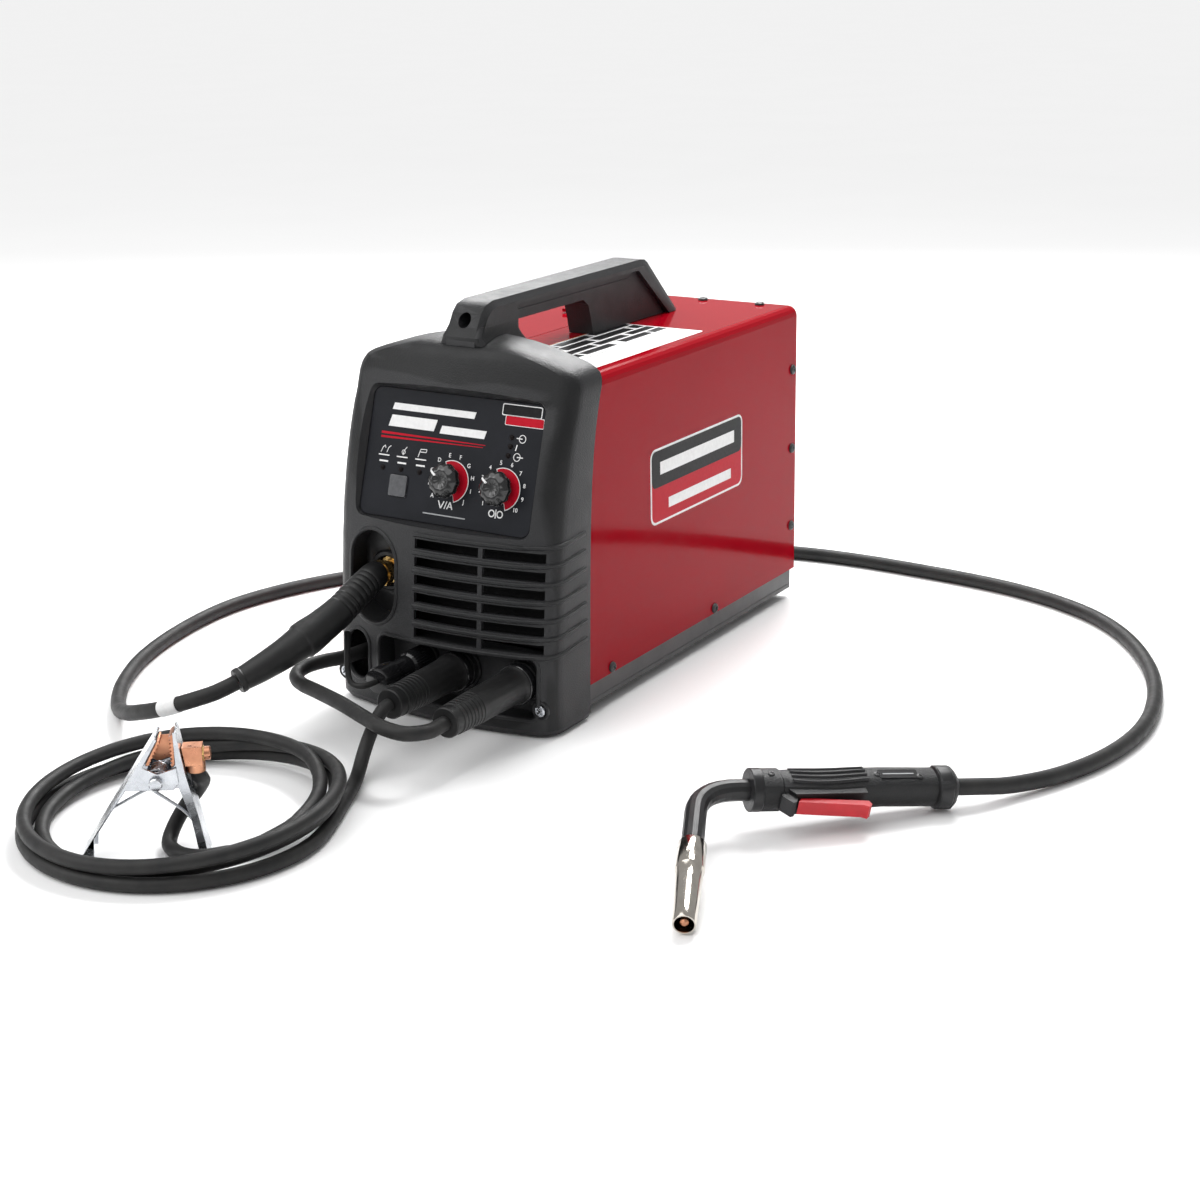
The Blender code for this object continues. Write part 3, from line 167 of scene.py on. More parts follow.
def studio():
    world = bpy.data.worlds.new("studio")
    bpy.context.scene.world = world
    world.use_nodes = True
    sky = world.node_tree.nodes["Background"].inputs
    sky["Color"].default_value = (1, 1, 1, 1)
    sky["Strength"].default_value = WORLD_LIGHT
    data = bpy.data.lights.new("sky_panel", "SUN")
    data.energy = SUN_LIGHT
    data.angle = math.radians(SUN_SPREAD)
    linked("sky_panel", data).rotation_euler = Vector((0.35, 0.55, -1)).to_track_quat("-Z", "Y").to_euler()
    area_light("overhead", (0.05, 0.75, 1.7), (0, -0.1, 0.25), (0.8, 0.5), 26)
    area_light("rim", (-0.75, 1.35, 1.4), (0, -0.15, 0.27), (1.3, 0.7), 32)
    area_light("front_left", (-1.7, -1.7, 1.2), (0, 0, 0.15), (0.7, 1.3), 7)
    view = bpy.context.scene.view_settings
    view.view_transform = "Standard"
    view.look = "None"
    mesh = bpy.data.meshes.new("floor")
    corners = [(a * FLOOR_REACH, b * FLOOR_REACH, 0) for a, b in ((-1, -1), (1, -1), (1, 1), (-1, 1))]
    mesh.from_pydata(corners, [], [(0, 1, 2, 3)])
    floor = linked("floor", mesh)
    look = Look("floor", (0.95, 0.95, 0.95), 0.8).vary(3, (0.94, 0.94, 0.94))
    look.shader.inputs["Specular IOR Level"].default_value = 0.0
    floor.data.materials.append(look.done())
    ring = circle((0, 0), BACKDROP_REACH, 48)
    count = len(ring)
    mesh = bpy.data.meshes.new("backdrop")
    mesh.from_pydata([(x, y, z) for z in (-0.01, BACKDROP_HEIGHT) for x, y in ring], [],
                     [(i, (i + 1) % count, count + (i + 1) % count, count + i) for i in range(count)])
    backdrop = linked("backdrop", mesh)
    look = Look("backdrop", (0, 0, 0), 1)
    look.shader.inputs["Emission Color"].default_value = (1, 1, 1, 1)
    look.shader.inputs["Emission Strength"].default_value = BACKDROP_LIGHT
    mesh.materials.append(look.done())


# --- materials


class Look:
    """A procedural material: a Principled shader with helpers for noise, wear and bump."""

    def __init__(self, name, colour, roughness, metallic=0.0):
        self.made = bpy.data.materials.new(name)
        self.made.use_nodes = True
        self.tree = self.made.node_tree
        self.shader = self.tree.nodes["Principled BSDF"]
        self.shader.inputs["Base Color"].default_value = (*colour, 1)
        self.shader.inputs["Roughness"].default_value = roughness
        self.shader.inputs["Metallic"].default_value = metallic
        self.made.diffuse_color = (*colour, 1)
        self.colour = colour
        self.place = self.tree.nodes.new("ShaderNodeTexCoord").outputs["Object"]

    def node(self, kind, **values):
        made = self.tree.nodes.new("ShaderNode" + kind)
        for name, value in values.items():
            if hasattr(made, name):
                setattr(made, name, value)
            else:
                self.set(made, name.replace("_", " "), value)
        return made

    def set(self, node, name, value):
        if isinstance(value, bpy.types.NodeSocket):
            self.tree.links.new(value, node.inputs[name])
        else:
            node.inputs[name].default_value = value

    def noise(self, scale, detail):
        return self.node("TexNoise", Scale=scale, Detail=detail, Roughness=0.55,
                         Vector=self.place).outputs["Fac"]

    def ramp(self, factor, low, high, at=(0.3, 0.7)):
        limits = {"From_Min": at[0], "From_Max": at[1], "To_Min": low, "To_Max": high}
        return self.node("MapRange", Value=factor, **limits).outputs[0]

    def mix(self, factor, first, second):
        made = self.node("Mix", data_type="RGBA")
        self.set(made, 0, factor)
        for slot, value in ((6, first), (7, second)):
            self.set(made, slot, value if isinstance(value, bpy.types.NodeSocket) else (*value, 1))
        return made.outputs[2]

    def vary(self, scale, second):
        """Colour drifts towards a second one in soft patches."""
        factor = self.ramp(self.noise(scale, 4), 0, 1)
        self.set(self.shader, "Base Color", self.mix(factor, self.colour, second))
        return self

    def roughen(self, scale, low, high):
        self.set(self.shader, "Roughness", self.ramp(self.noise(scale, 5), low, high))
        return self

    def grain(self, scale, distance):
        made = self.node("Bump", Strength=1.0, Distance=distance, Height=self.noise(scale, 2))
        self.set(self.shader, "Normal", made.outputs[0])
        return self

    def worn(self, colour, amount):
        """Edges rub paler."""
        geometry = self.node("NewGeometry").outputs["Pointiness"]
        edge = self.ramp(geometry, 0, amount, (0.53, 0.53 + 0.06))
        first = self.shader.inputs["Base Color"].links[0].from_socket
        self.set(self.shader, "Base Color", self.mix(edge, first, colour))

    def coat(self, weight):
        self.set(self.shader, "Coat Weight", weight)
        self.set(self.shader, "Coat Roughness", 0.03)

    def done(self):
        return self.made


# name: colour, second colour, patch scale, roughness low and high, its scale, grain scale, grain depth in mm
FINISHES = {
    "black_plastic": ((0.0055, 0.0057, 0.0063), (0.009, 0.0093, 0.01), 14, 0.34, 0.46, 60, 800, 0.34),
    "smooth_plastic": ((0.012, 0.012, 0.013), (0.019, 0.019, 0.02), 30, 0.3, 0.44, 90, 1800, 0.03),
    "gloss_plastic": ((0.008, 0.008, 0.009), (0.012, 0.012, 0.013), 40, 0.12, 0.22, 90, 1400, 0.012),
    "knob_plastic": ((0.008, 0.0083, 0.0088), (0.01, 0.0103, 0.0108), 70, 0.16, 0.22, 120, 900, 0.02),
    "black_paint": ((0.013, 0.013, 0.014), (0.02, 0.02, 0.021), 20, 0.32, 0.46, 70, 1500, 0.06),
    "red_paint": ((0.29, 0.0012, 0.008), (0.265, 0.001, 0.007), 5, 0.08, 0.14, 25, 700, 0.0012),
    "panel_film": ((0.007, 0.008, 0.011), (0.01, 0.011, 0.015), 40, 0.36, 0.46, 120, 3000, 0.02),
    "grey_button": ((0.05, 0.052, 0.057), (0.075, 0.077, 0.083), 220, 0.12, 0.2, 200, 2500, 0.02),
    "rubber": ((0.012, 0.012, 0.0125), (0.022, 0.0215, 0.021), 45, 0.46, 0.62, 110, 1600, 0.06),
    "boot_rubber": ((0.01, 0.01, 0.0105), (0.018, 0.018, 0.018), 35, 0.34, 0.5, 90, 1900, 0.04),
    # near-black finish for the sheet behind the louvres: painted shade of the hollow inside
    "baffle": ((0.004, 0.004, 0.0045), (0.006, 0.006, 0.006), 60, 0.6, 0.8, 90, 1200, 0.05),
    "screw_black": ((0.02, 0.02, 0.021), (0.035, 0.035, 0.036), 200, 0.25, 0.4, 300, 2400, 0.03),
    "board": ((0.012, 0.13, 0.05), (0.02, 0.18, 0.07), 160, 0.3, 0.5, 300, 1300, 0.05),
    "capacitor": ((0.015, 0.02, 0.05), (0.02, 0.028, 0.065), 160, 0.2, 0.32, 300, 1300, 0.02),
    "trigger_red": ((0.5, 0.008, 0.016), (0.42, 0.006, 0.012), 70, 0.3, 0.44, 120, 2200, 0.03),
    "print_white": ((0.78, 0.78, 0.78), (0.7, 0.7, 0.7), 300, 0.4, 0.5, 400, 2000, 0.01),
    "print_grey": ((0.34, 0.35, 0.36), (0.28, 0.29, 0.3), 300, 0.4, 0.5, 400, 2000, 0.01),
    "print_red": ((0.46, 0.006, 0.02), (0.42, 0.005, 0.017), 300, 0.36, 0.48, 400, 2000, 0.01),
    "print_black": ((0.01, 0.01, 0.011), (0.016, 0.016, 0.017), 300, 0.34, 0.46, 400, 2000, 0.01),
    "print_orange": ((0.74, 0.2, 0.02), (0.66, 0.16, 0.015), 300, 0.36, 0.48, 400, 2000, 0.01),
    "lamp_dark": ((0.0025, 0.001, 0.001), (0.004, 0.0015, 0.0015), 400, 0.3, 0.4, 500, 1200, 0.01),
}
METALS = {
    "brass": ((0.72, 0.5, 0.2), (0.58, 0.37, 0.14), 60, 0.2, 0.36, 140, 900, 0.02),
    "copper": ((0.66, 0.32, 0.19), (0.46, 0.2, 0.12), 70, 0.24, 0.42, 150, 800, 0.02),
    "zinc": ((0.62, 0.64, 0.67), (0.44, 0.46, 0.5), 50, 0.16, 0.34, 120, 500, 0.03),
    "nickel": ((0.66, 0.62, 0.56), (0.54, 0.5, 0.45), 80, 0.07, 0.18, 220, 700, 0.008),
    "steel": ((0.5, 0.5, 0.52), (0.38, 0.38, 0.4), 60, 0.26, 0.44, 160, 600, 0.03),
    "aluminium": ((0.68, 0.69, 0.71), (0.56, 0.57, 0.6), 40, 0.3, 0.48, 130, 1100, 0.05),
    "winding": ((0.4, 0.16, 0.05), (0.28, 0.1, 0.03), 120, 0.3, 0.5, 200, 500, 0.2),
}
# shares of the usual reflection, weights of a clear coat, and the paler colour and amount of rubbed edges
DULL = {"red_paint": 0.05, "lamp_dark": 0.12, "black_plastic": 0.3, "print_black": 0.1, "print_red": 0.1,
        "rubber": 0.3, "boot_rubber": 0.34, "panel_film": 0.16, "baffle": 0.1, "smooth_plastic": 0.35}
COATED = {"red_paint": 0.05, "knob_plastic": 0.3, "grey_button": 0.5, "gloss_plastic": 0.5}
WORN = {"black_plastic": ((0.05, 0.05, 0.053), 0.35), "black_paint": ((0.1, 0.1, 0.1), 0.4),
        "zinc": ((0.75, 0.76, 0.78), 0.5)}


def make_looks():
    looks = {}
    for table, metallic in ((FINISHES, 0), (METALS, 1)):
        for name, (colour, second, patch, low, high, rough_scale, fine, depth) in table.items():
            look = Look(name, colour, (low + high) / 2, metallic)
            look.vary(patch, second).roughen(rough_scale, low, high).grain(fine, depth * MM)
            look.shader.inputs["Specular IOR Level"].default_value = DULL.get(name, 0.5)
            if name in COATED:
                look.coat(COATED[name])
            if name in WORN:
                look.worn(*WORN[name])
            looks[name] = look.done()
    return looks


def paint(obj, look):
    obj.data.materials.clear()
    obj.data.materials.append(LOOKS[look])


# --- shapes


def mesh_object(name, points, faces, look, body="machine", sharp=30):
    mesh = bpy.data.meshes.new(name)
    mesh.from_pydata([tuple(p) for p in points], [], faces)
    form = bmesh.new()
    form.from_mesh(mesh)
    bmesh.ops.recalc_face_normals(form, faces=form.faces)
    form.to_mesh(mesh)
    form.free()
    mesh.shade_smooth()
    mesh.set_sharp_from_angle(angle=math.radians(sharp))
    made = linked(name, mesh)
    paint(made, look)
    if body:
        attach(made, body)
    return made


def loft(name, rings, look, body="machine", sharp=30, closed=False):
    """A skin through rings of equal count: capped at both ends, or closed on itself."""
    count = len(rings[0])
    points = [p for ring in rings for p in ring]
    rows = len(rings)
    faces = [] if closed else [list(range(count)), list(range(len(points) - count, len(points)))]
    for row in range(rows if closed else rows - 1):
        base, after = row * count, (row + 1) % rows * count
        for i in range(count):
            j = (i + 1) % count
            faces.append([base + i, base + j, after + j, after + i])
    return mesh_object(name, points, faces, look, body, sharp)


def slabs(name, outlines, frame, low, high, look, body="machine"):
    """Flat outlines in the plane of a frame (base, u, v), drawn out along its normal, as one piece."""
    base, u, v = (Vector(part) for part in frame)
    out = u.cross(v)
    points, faces = [], []
    for outline in outlines:
        start, count = len(points), len(outline)
        for height in (low, high):
            points += [base + (u * a + v * b + out * height) * MM for a, b in outline]
        faces += [list(range(start, start + count)), list(range(start + count, start + 2 * count))]
        for i in range(count):
            j = (i + 1) % count
            faces.append([start + i, start + j, start + count + j, start + count + i])
    return mesh_object(name, points, faces, look, body)


def slab(name, outline, frame, low, high, look, body="machine"):
    return slabs(name, [outline], frame, low, high, look, body)


def block(name, x, y, z, look):
    """A block between two limits on each axis, in millimetres, with y measured back from the seam."""
    outline = [(x[0], y[0]), (x[1], y[0]), (x[1], y[1]), (x[0], y[1])]
    return bevel(slab(name, outline, ((0, SEAM_Y, 0), X, Y), *z, look), 0.4 * MM)


def lettering(name, marks, size):
    """Small dial characters on the control panel, given as (text, (across, up)), as one piece."""
    form = bmesh.new()
    for text, at in marks:
        curve = bpy.data.curves.new("mark", "FONT")
        curve.body, curve.size, curve.extrude, curve.offset = text, size * MM, 0.08 * MM, 0.06 * MM
        curve.align_x, curve.align_y, curve.resolution_u = "CENTER", "CENTER", 3
        shape = linked("mark", curve)
        mesh = bpy.data.meshes.new_from_object(shape)
        turn = Matrix(((1, 0, 0), PANEL_UP, PANEL_OUT)).transposed().to_4x4()
        mesh.transform(Matrix.Translation(panel_point(at, 0.06)) @ turn)
        form.from_mesh(mesh)
        bpy.data.objects.remove(shape)
    mesh = bpy.data.meshes.new(name)
    form.to_mesh(mesh)
    form.free()
    made = linked(name, mesh)
    paint(made, "print_white")
    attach(made, "machine")


def turned(name, profile, centre, axis, look, body="machine", sides=48, sharp=30, ribs=None):
    """A turned piece, its profile in millimetres. ribs is (count, depth, from, to): ridges along the axis."""
    turn = Vector((0, 0, 1)).rotation_difference(Vector(axis))
    centre = Vector(centre)
    points, rows = [], []
    for radius, height in profile:
        count = sides if radius > 0 else 1
        rows.append([len(points) + i for i in range(count)])
        for i in range(count):
            angle = 2 * math.pi * i / sides
            reach = radius
            if ribs and ribs[2] <= height <= ribs[3] and radius > 0:
                reach -= ribs[1] * (0.5 - 0.5 * math.cos(ribs[0] * angle))
            spot = Vector((reach * math.cos(angle), reach * math.sin(angle), height)) * MM
            points.append(centre + turn @ spot)
    faces = []
    pairs = list(zip(rows, rows[1:]))
    if profile[0][0] > 0:
        pairs.append((rows[-1], rows[0]))
    for first, second in pairs:
        for i in range(sides):
            j = (i + 1) % sides
            corners = [first[i % len(first)], first[j % len(first)]]
            corners += [second[j % len(second)], second[i % len(second)]]
            faces.append(list(dict.fromkeys(corners)))
    return mesh_object(name, points, faces, look, body, sharp)


def rounded(centre, half_a, half_b, radius, steps=6):
    outline = []
    for turn, (side_a, side_b) in enumerate(((1, 1), (-1, 1), (-1, -1), (1, -1))):
        for step in range(steps + 1):
            angle = math.pi / 2 * (turn + step / steps)
            a = centre[0] + side_a * (half_a - radius) + radius * math.cos(angle)
            b = centre[1] + side_b * (half_b - radius) + radius * math.sin(angle)
            outline.append((a, b))
    return outline


def circle(centre, radius, sides=32):
    turns = [2 * math.pi * i / sides for i in range(sides)]
    return [(centre[0] + radius * math.cos(t), centre[1] + radius * math.sin(t)) for t in turns]


def bevel(obj, width):
    step = obj.modifiers.new("Bevel", "BEVEL")
    step.width = width
    step.segments = 2
    step.limit_method = "ANGLE"
    step.angle_limit = math.radians(30)
    step.harden_normals = True
    step.use_clamp_overlap = True
    return obj


def cut(target, other):
    """Cuts one shape out of another and removes the first."""
    step = target.modifiers.new("Difference", "BOOLEAN")
    step.operation = "DIFFERENCE"
    step.object = other
    step.solver = "EXACT"
    graph = bpy.context.evaluated_depsgraph_get()
    graph.update()
    mesh = bpy.data.meshes.new_from_object(target.evaluated_get(graph))
    target.modifiers.clear()
    target.data = mesh
    bpy.data.objects.remove(other)


def smooth_path(points, spacing):
    knots = [Vector(p) for p in points]
    ends = [knots[0] * 2 - knots[1]] + knots + [knots[-1] * 2 - knots[-2]]
    path = []
    for i in range(1, len(ends) - 2):
        p0, p1, p2, p3 = ends[i - 1 : i + 3]
        steps = max(1, round((p2 - p1).length / spacing))
        for step in range(steps):
            t = step / steps
            bend = (p0 * 2 - p1 * 5 + p2 * 4 - p3) * t * t
            twist = (p1 * 3 - p0 - p2 * 3 + p3) * t * t * t
            path.append((p1 * 2 + (p2 - p0) * t + bend + twist) / 2)
    path.append(knots[-1])
    return path


def tube(name, path, radius, look, body="machine", sides=5):
    curve = bpy.data.curves.new(name, "CURVE")
    curve.dimensions = "3D"
    curve.bevel_depth = radius
    curve.bevel_resolution = sides
    curve.use_fill_caps = True
    spline = curve.splines.new("POLY")
    spline.points.add(len(path) - 1)
    for knot, place in zip(spline.points, path):
        knot.co = (*place, 1)
    spline.use_smooth = True
    made = linked(name, curve)
    curve.materials.append(LOOKS[look])
    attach(made, body)
    return made


def run_length(path):
    return sum((b - a).length for a, b in zip(path, path[1:]))


def dress(node, look, width):
    """A CAD node that keeps its shape, with its material, and with soft edges if their width isn't 0."""
    obj = NODES[node]
    mesh = obj.data
    if width:
        if mesh.has_custom_normals:
            mesh.attributes.remove(mesh.attributes["custom_normal"])
        mesh.shade_smooth()
        weld = obj.modifiers.new("Weld", "WELD")
        weld.merge_threshold = 1e-5
        bevel(obj, width * MM)
    paint(obj, look)


# --- front


def prints(name, outlines, look="print_white", frame=PANEL, body="machine", low=PRINT_LOW, high=PRINT_HIGH):
    """Printed shapes in millimetres, a hair above a flat face: the control panel unless a frame is given."""
    slabs(name, outlines, frame, low, high, look, body)


def sector(centre, inner, outer, start, end, steps=28):
    turns = [math.radians(start + (end - start) * i / steps) for i in range(steps + 1)]
    far = [(centre[0] + outer * math.cos(t), centre[1] + outer * math.sin(t)) for t in turns]
    near = [(centre[0] + inner * math.cos(t), centre[1] + inner * math.sin(t)) for t in turns]
    return [far[i : i + 2] + near[i : i + 2][::-1] for i in range(steps)]


def stroke(start, end, wide):
    """A straight printed line as an outline."""
    a, b = Vector(start), Vector(end)
    side = Vector((a.y - b.y, b.x - a.x)).normalized() * wide / 2
    return [tuple(a + side), tuple(b + side), tuple(b - side), tuple(a - side)]


def strokes(points, wide):
    return [stroke(a, b, wide) for a, b in zip(points, points[1:])]


def bar(left, right, low, high, slant=0.0):
    return [(left, low), (right, low), (right + slant, high), (left + slant, high)]


def ring_marks(centre, radius, wide, sides=20):
    spots = circle(centre, radius, sides)
    return strokes([*spots, spots[0]], wide)


def panel_graphics():
    prints("title_block",
           [bar(-64, 18, 35.5, 41, 1.5), bar(-66, -20, 21.5, 31, 2.6), bar(-14, 30, 20.5, 27, 1.8)])
    rules = [[(-72, 16.8), (32, 15.9), (32, 15.3), (-72, 14.8)],
             [(-72, 13.2), (30, 13.9), (30, 13.4), (-72, 11.4)]]
    prints("title_rules", rules, "print_red")
    prints("badge_edge", [rounded((63, 46.3), 19, 4.8, 1.5), rounded((66.5, 38), 18.5, 4, 1.2)])
    prints("badge_black", [rounded((63, 46.3), 18.2, 4, 1.2)], "print_black", high=OVERPRINT)
    prints("badge_red", [rounded((66.5, 38), 18, 3.5, 1)], "print_red", high=OVERPRINT)
    for name, at, marks in (("output", OUTPUT_KNOB, "ABCDEFGHIJ"),
                            ("speed", SPEED_KNOB, [str(n) for n in range(1, 11)])):
        prints(name + "_arc_edge", sector(at, 6.5, 17.4, 117, -73))
        prints(name + "_arc", sector(at, 6.2, 16.7, 115, -71), "print_red", high=OVERPRINT)
        placed = []
        for i, mark in enumerate(marks):
            angle = math.radians(218.6 - 29.3 * i)
            placed.append((mark, (at[0] + 21.2 * math.cos(angle), at[1] + 21.2 * math.sin(angle))))
        lettering(name + "_dial_marks", placed, 4.9)
    symbol = strokes([(-6, -33.4), (-3.2, -39.4), (-0.4, -33.4)],
                     1) + strokes([(0.4, -39.6), (2.4, -33.2)], 0.8)
    symbol += strokes([(3, -39.4), (5.6, -33.4), (8.2, -39.4)],
                      1) + strokes([(4.1, -37.4), (7.1, -37.4)], 0.8)
    prints("output_symbol", symbol)
    symbol = ring_marks((46.8, -37.3), 2.6, 1) + ring_marks((54.8, -37.3), 2.6, 1)
    prints("speed_symbol", symbol + [stroke((50.8, -40.9), (50.8, -33.7), 0.9)])
    prints("foot_rule", [bar(-20, 22, -45.6, -44.6)], "print_grey")
    icons = []
    for x, lines in (
        (-66.1, ([(-4, -0.6), (-2.4, 3.4), (-0.4, 5.2), (0.4, 3)], [(2, -0.4), (3.4, 3.6), (5.6, 5.4)])),
        (-47.5, ([(0, -1), (0.8, 3), (3.4, 6)],)),
        (-28.6, ([(-3.6, -1), (-1.6, 5.6), (4.4, 6), (4.2, 3.6), (-1.8, 3.4)],)),
    ):
        icons += [bar(x - 6, x + 5, -3.2, -2.2), bar(x - 4.4, x + 4.4, -8.4, -7)]
        for line in lines:
            icons += strokes([(x + across, up) for across, up in line], 0.6)
    icons += ring_marks((-47.1, 1.6), 1.7, 0.5, 12)
    icons += ring_marks((66.6, 24.4), 3.1, 0.6)
    icons += [stroke((61, 24.6), (66.6, 24.4), 0.8), stroke((62.4, 19.4), (61.4, 14.6), 0.9)]
    icons += ring_marks((63.6, 9.6), 3.1, 0.6) + [stroke((63.6, 9.6), (69.2, 9.6), 0.8)]
    prints("icons", icons)
    for i, at in enumerate(((-66.1, -13.1), (-47.5, -12.8), (-28.6, -13), (56.4, 24.7), (56.2, 17.5),
                            (55.2, 10))):
        turned("lamp_%d" % (i + 1),
               [(0, -1), (2.3, -1), (2.3, 0.25), (2, 0.5), (1.5, 1), (0.8, 1.3), (0, 1.4)],
               panel_point(at), PANEL_OUT, "lamp_dark", sides=24)


def knobs():
    shape = [
        (0, -14), (3.5, -14), (3.5, 0.5), (8.6, 0.5), (9.4, 1.2), (11.8, 3.2), (13.7, 6.2), (14.5, 9.4),
        (14.3, 11.6), (13.2, 13.7), (10.8, 15.3), (7.6, 16), (6.6, 15.7), (6, 15.2), (3, 15), (0, 14.9),
    ]
    for node, at in (("output_knob", OUTPUT_KNOB), ("wire_speed_knob", SPEED_KNOB)):
        knob = turned(node + "_look", shape, panel_point(at), PANEL_OUT, "knob_plastic", node,
                      sides=96, sharp=40, ribs=(10, 0.9, 1.3, 15.4))
        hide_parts(node)
        angle = math.radians(147)
        out, side = Vector((math.cos(angle), math.sin(angle))), Vector((-math.sin(angle), math.cos(angle)))
        rings = []
        for reach, height in ((7, 16.1), (10.6, 15.6), (13.2, 14.1), (14.5, 12), (14.9, 9.4), (14.3, 7.4)):
            inner = (reach - 1.6, height - (1.4 if reach < 12 else 0.6))
            ring = [panel_point(Vector(at) + out * r + side * w, h) for r, h, w in (
                (reach, height, -0.9), (reach, height, 0.9), (*inner, 0.9), (*inner, -0.9))]
            rings.append(ring)
        loft(node + "_pointer", rings, "print_white", node)


def tree_of(node):
    mesh = NODES[node].data
    return BVHTree.FromPolygons([v.co for v in mesh.vertices], [tuple(p.vertices) for p in mesh.polygons])


def touch(tree, place, direction, far=0.3):
    """Where a ray that comes from outside meets a surface, and the normal there."""
    direction = Vector(direction).normalized()
    hit, normal = tree.ray_cast(Vector(place) - direction * far, direction)[:2]
    return hit, (-normal if normal.dot(direction) > 0 else normal)


def bead(name, spots, section, look, body="machine", closed=False):
    """A raised line along surface spots; section is (sideways, out) points in millimetres."""
    rings, count = [], len(spots)
    for i, (place, normal) in enumerate(spots):
        before = spots[i - 1 if closed or i else i][0]
        after = spots[(i + 1) % count if closed or i + 1 < count else i][0]
        run = (after - before).normalized()
        side = run.cross(normal).normalized()
        out = side.cross(run)
        rings.append([place + side * a * MM + out * b * MM for a, b in section])
    return loft(name, rings, look, body, 40, closed)


RIDGE = [(-2.2, -0.6), (-1.7, 1), (-0.9, 1.7), (0.9, 1.7), (1.7, 1), (2.2, -0.6)]
GRIP_RIDGE = [(-1.5, -0.6), (-1.1, 0.8), (-0.4, 1.3), (0.4, 1.3), (1.1, 0.8), (1.5, -0.6)]
SEAM = [(-0.9, -0.5), (-0.5, 0.5), (0.5, 0.5), (0.9, -0.5)]
RIM = [(-1.9, -0.8), (-1.7, 0.5), (-1, 1.2), (0.6, 1.2), (1.5, 0.6), (1.9, -0.8)]


def front_relief():
    """Ridges between the louvres that wrap the corner, rims round the recesses, and what is behind them, with
    a near-black sheet behind the louvres as painted shade for the hollow inside.
    """
    tree = tree_of("front_bezel")
    for row in range(7):
        z = 68.6 + 14.8 * row
        spots = [touch(tree, at_mm(x, FRONT, z), Y) for x in range(-19, 84, 6)]
        for step in range(1, 10):
            angle = math.radians(-80 + 9 * step)
            aim = Vector((math.cos(angle), math.sin(angle), 0))
            spots.append(touch(tree, at_mm(78, -42, z + 0.2 * step), -aim))
        spots += [touch(tree, at_mm(0, y, z + 2 + 0.08 * (y + 42)), -X) for y in range(-34, -8, 5)]
        bead("louvre_ridge_%d" % (row + 1), spots, RIDGE, "black_plastic")
    for name, outline in (
        ("gun_recess_rim", rounded((-64, 115), 26.6, 40.1, 26.5, 10)),
        ("lead_hole_rim", rounded((-81, 45), 13.4, 22.4, 13.3, 8)),
        ("socket_recess_rim", rounded((20, 42.5), 77.6, 26.4, 8.6, 6)),
    ):
        dense = []
        for (x0, z0), (x1, z1) in zip(outline, outline[1:] + outline[:1]):
            steps = max(1, int(math.hypot(x1 - x0, z1 - z0) // 6))
            dense += [(x0 + (x1 - x0) * i / steps, z0 + (z1 - z0) * i / steps) for i in range(steps)]
        spots = [touch(tree, at_mm(x, FRONT, z), Y) for x, z in dense]
        bead(name, spots, RIM, "black_plastic", closed=True)
    # a near-black sheet behind the louvre slots: painted shade standing in for the dark hollow inside the
    # moulding
    block("louvre_shade_sheet", (-34, 104), (-43.5, -42), (70.5, 156), "baffle")
    behind = (at_mm(0, -38, 0), X, Z)
    outline = rounded((-64, 115), 24.8, 38.3, 24.7, 10)
    wall = slab("gun_recess_wall", outline, behind, -0.4, 1.2, "smooth_plastic")
    cut(wall, slab("gun_recess_bore", circle((-66, 113), 12.5), behind, -5, 5, "smooth_plastic", None))
    for i, x in enumerate((-98.9, 98.9)):
        spot, _ = touch(tree, at_mm(x, FRONT, 25.4), Y)
        turned("screw_well_%d" % (i + 1),
               [(5.2, -1.5), (7.8, -1.5), (7.8, 0.4), (7.2, 1.1), (6.2, 1.1), (5.4, 0.2)],
               spot, -Y, "black_plastic", sides=40)
        fastener("front_screw_%d" % (i + 1), spot, -Y, 5, 2.6, "zinc")
    turned("gun_receiver_ring", [(12.4, -1), (17.5, -1), (17.5, 2.2), (16.4, 3.4), (13.6, 3.4), (12.6, 2.4)],
           at_mm(-66, -37.6, 113), -Y, "smooth_plastic", sides=48)
    turned("brass_collar", [(9.4, 0), (11.6, 0), (11.6, 6), (11, 7), (9.4, 7)], at_mm(-66, -44, 113), -Y,
           "brass", sides=6)


def fastener(name, place, axis, radius, height, look):
    """A domed screw head with a cross recess."""
    axis = Vector(axis).normalized()
    head = turned(name, [
        (0, -1.5), (radius * 0.5, -1.5), (radius * 0.5, 0), (radius, 0), (radius, height * 0.3),
        (radius * 0.92, height * 0.6), (radius * 0.7, height * 0.86),
        (radius * 0.38, height * 0.98), (0, height),
    ], place, axis, look, sides=28)
    thin, long = radius * 0.15, radius * 0.58
    cross = [(thin, thin), (thin, long), (-thin, long), (-thin, thin), (-long, thin), (-long, -thin),
             (-thin, -thin), (-thin, -long), (thin, -long), (thin, -thin), (long, -thin), (long, thin)]
    u = axis.orthogonal().normalized()
    recess = slab(name + "_recess", cross, (place, u, axis.cross(u)), height * 0.35, height + 1, look, None)
    cut(head, recess)


# --- case


RIGHT = (at_mm(107.6, 0, 0), Y, Z)
LEFT = (at_mm(-107.6, 0, 0), -Y, Z)
ROOF = (at_mm(0, 0, 284.4), X, Y)
BACK = (at_mm(0, REAR, 0), -X, Z)
DIVIDER = (at_mm(-23, 0, 0), -Y, Z)


def side_badge(name, middle, frame, body):
    """A plain two-tone plate with a white edge and no lettering."""
    prints(name + "_edge", [rounded((middle, 171.5), 82, 33, 8)], "print_white", frame, body)
    prints(name + "_red", [rounded((middle, 171.5), 80, 31, 6.5)], "print_red", frame, body, high=OVERPRINT)
    prints(name + "_black", [rounded((middle, 186.5), 80, 16, 6)], "print_black", frame, body, high=0.28)
    bars = [bar(middle - 66, middle + 66, 181, 192), bar(middle - 52, middle + 60, 149, 158)]
    prints(name + "_bars", bars, "print_white", frame, body, high=0.36)


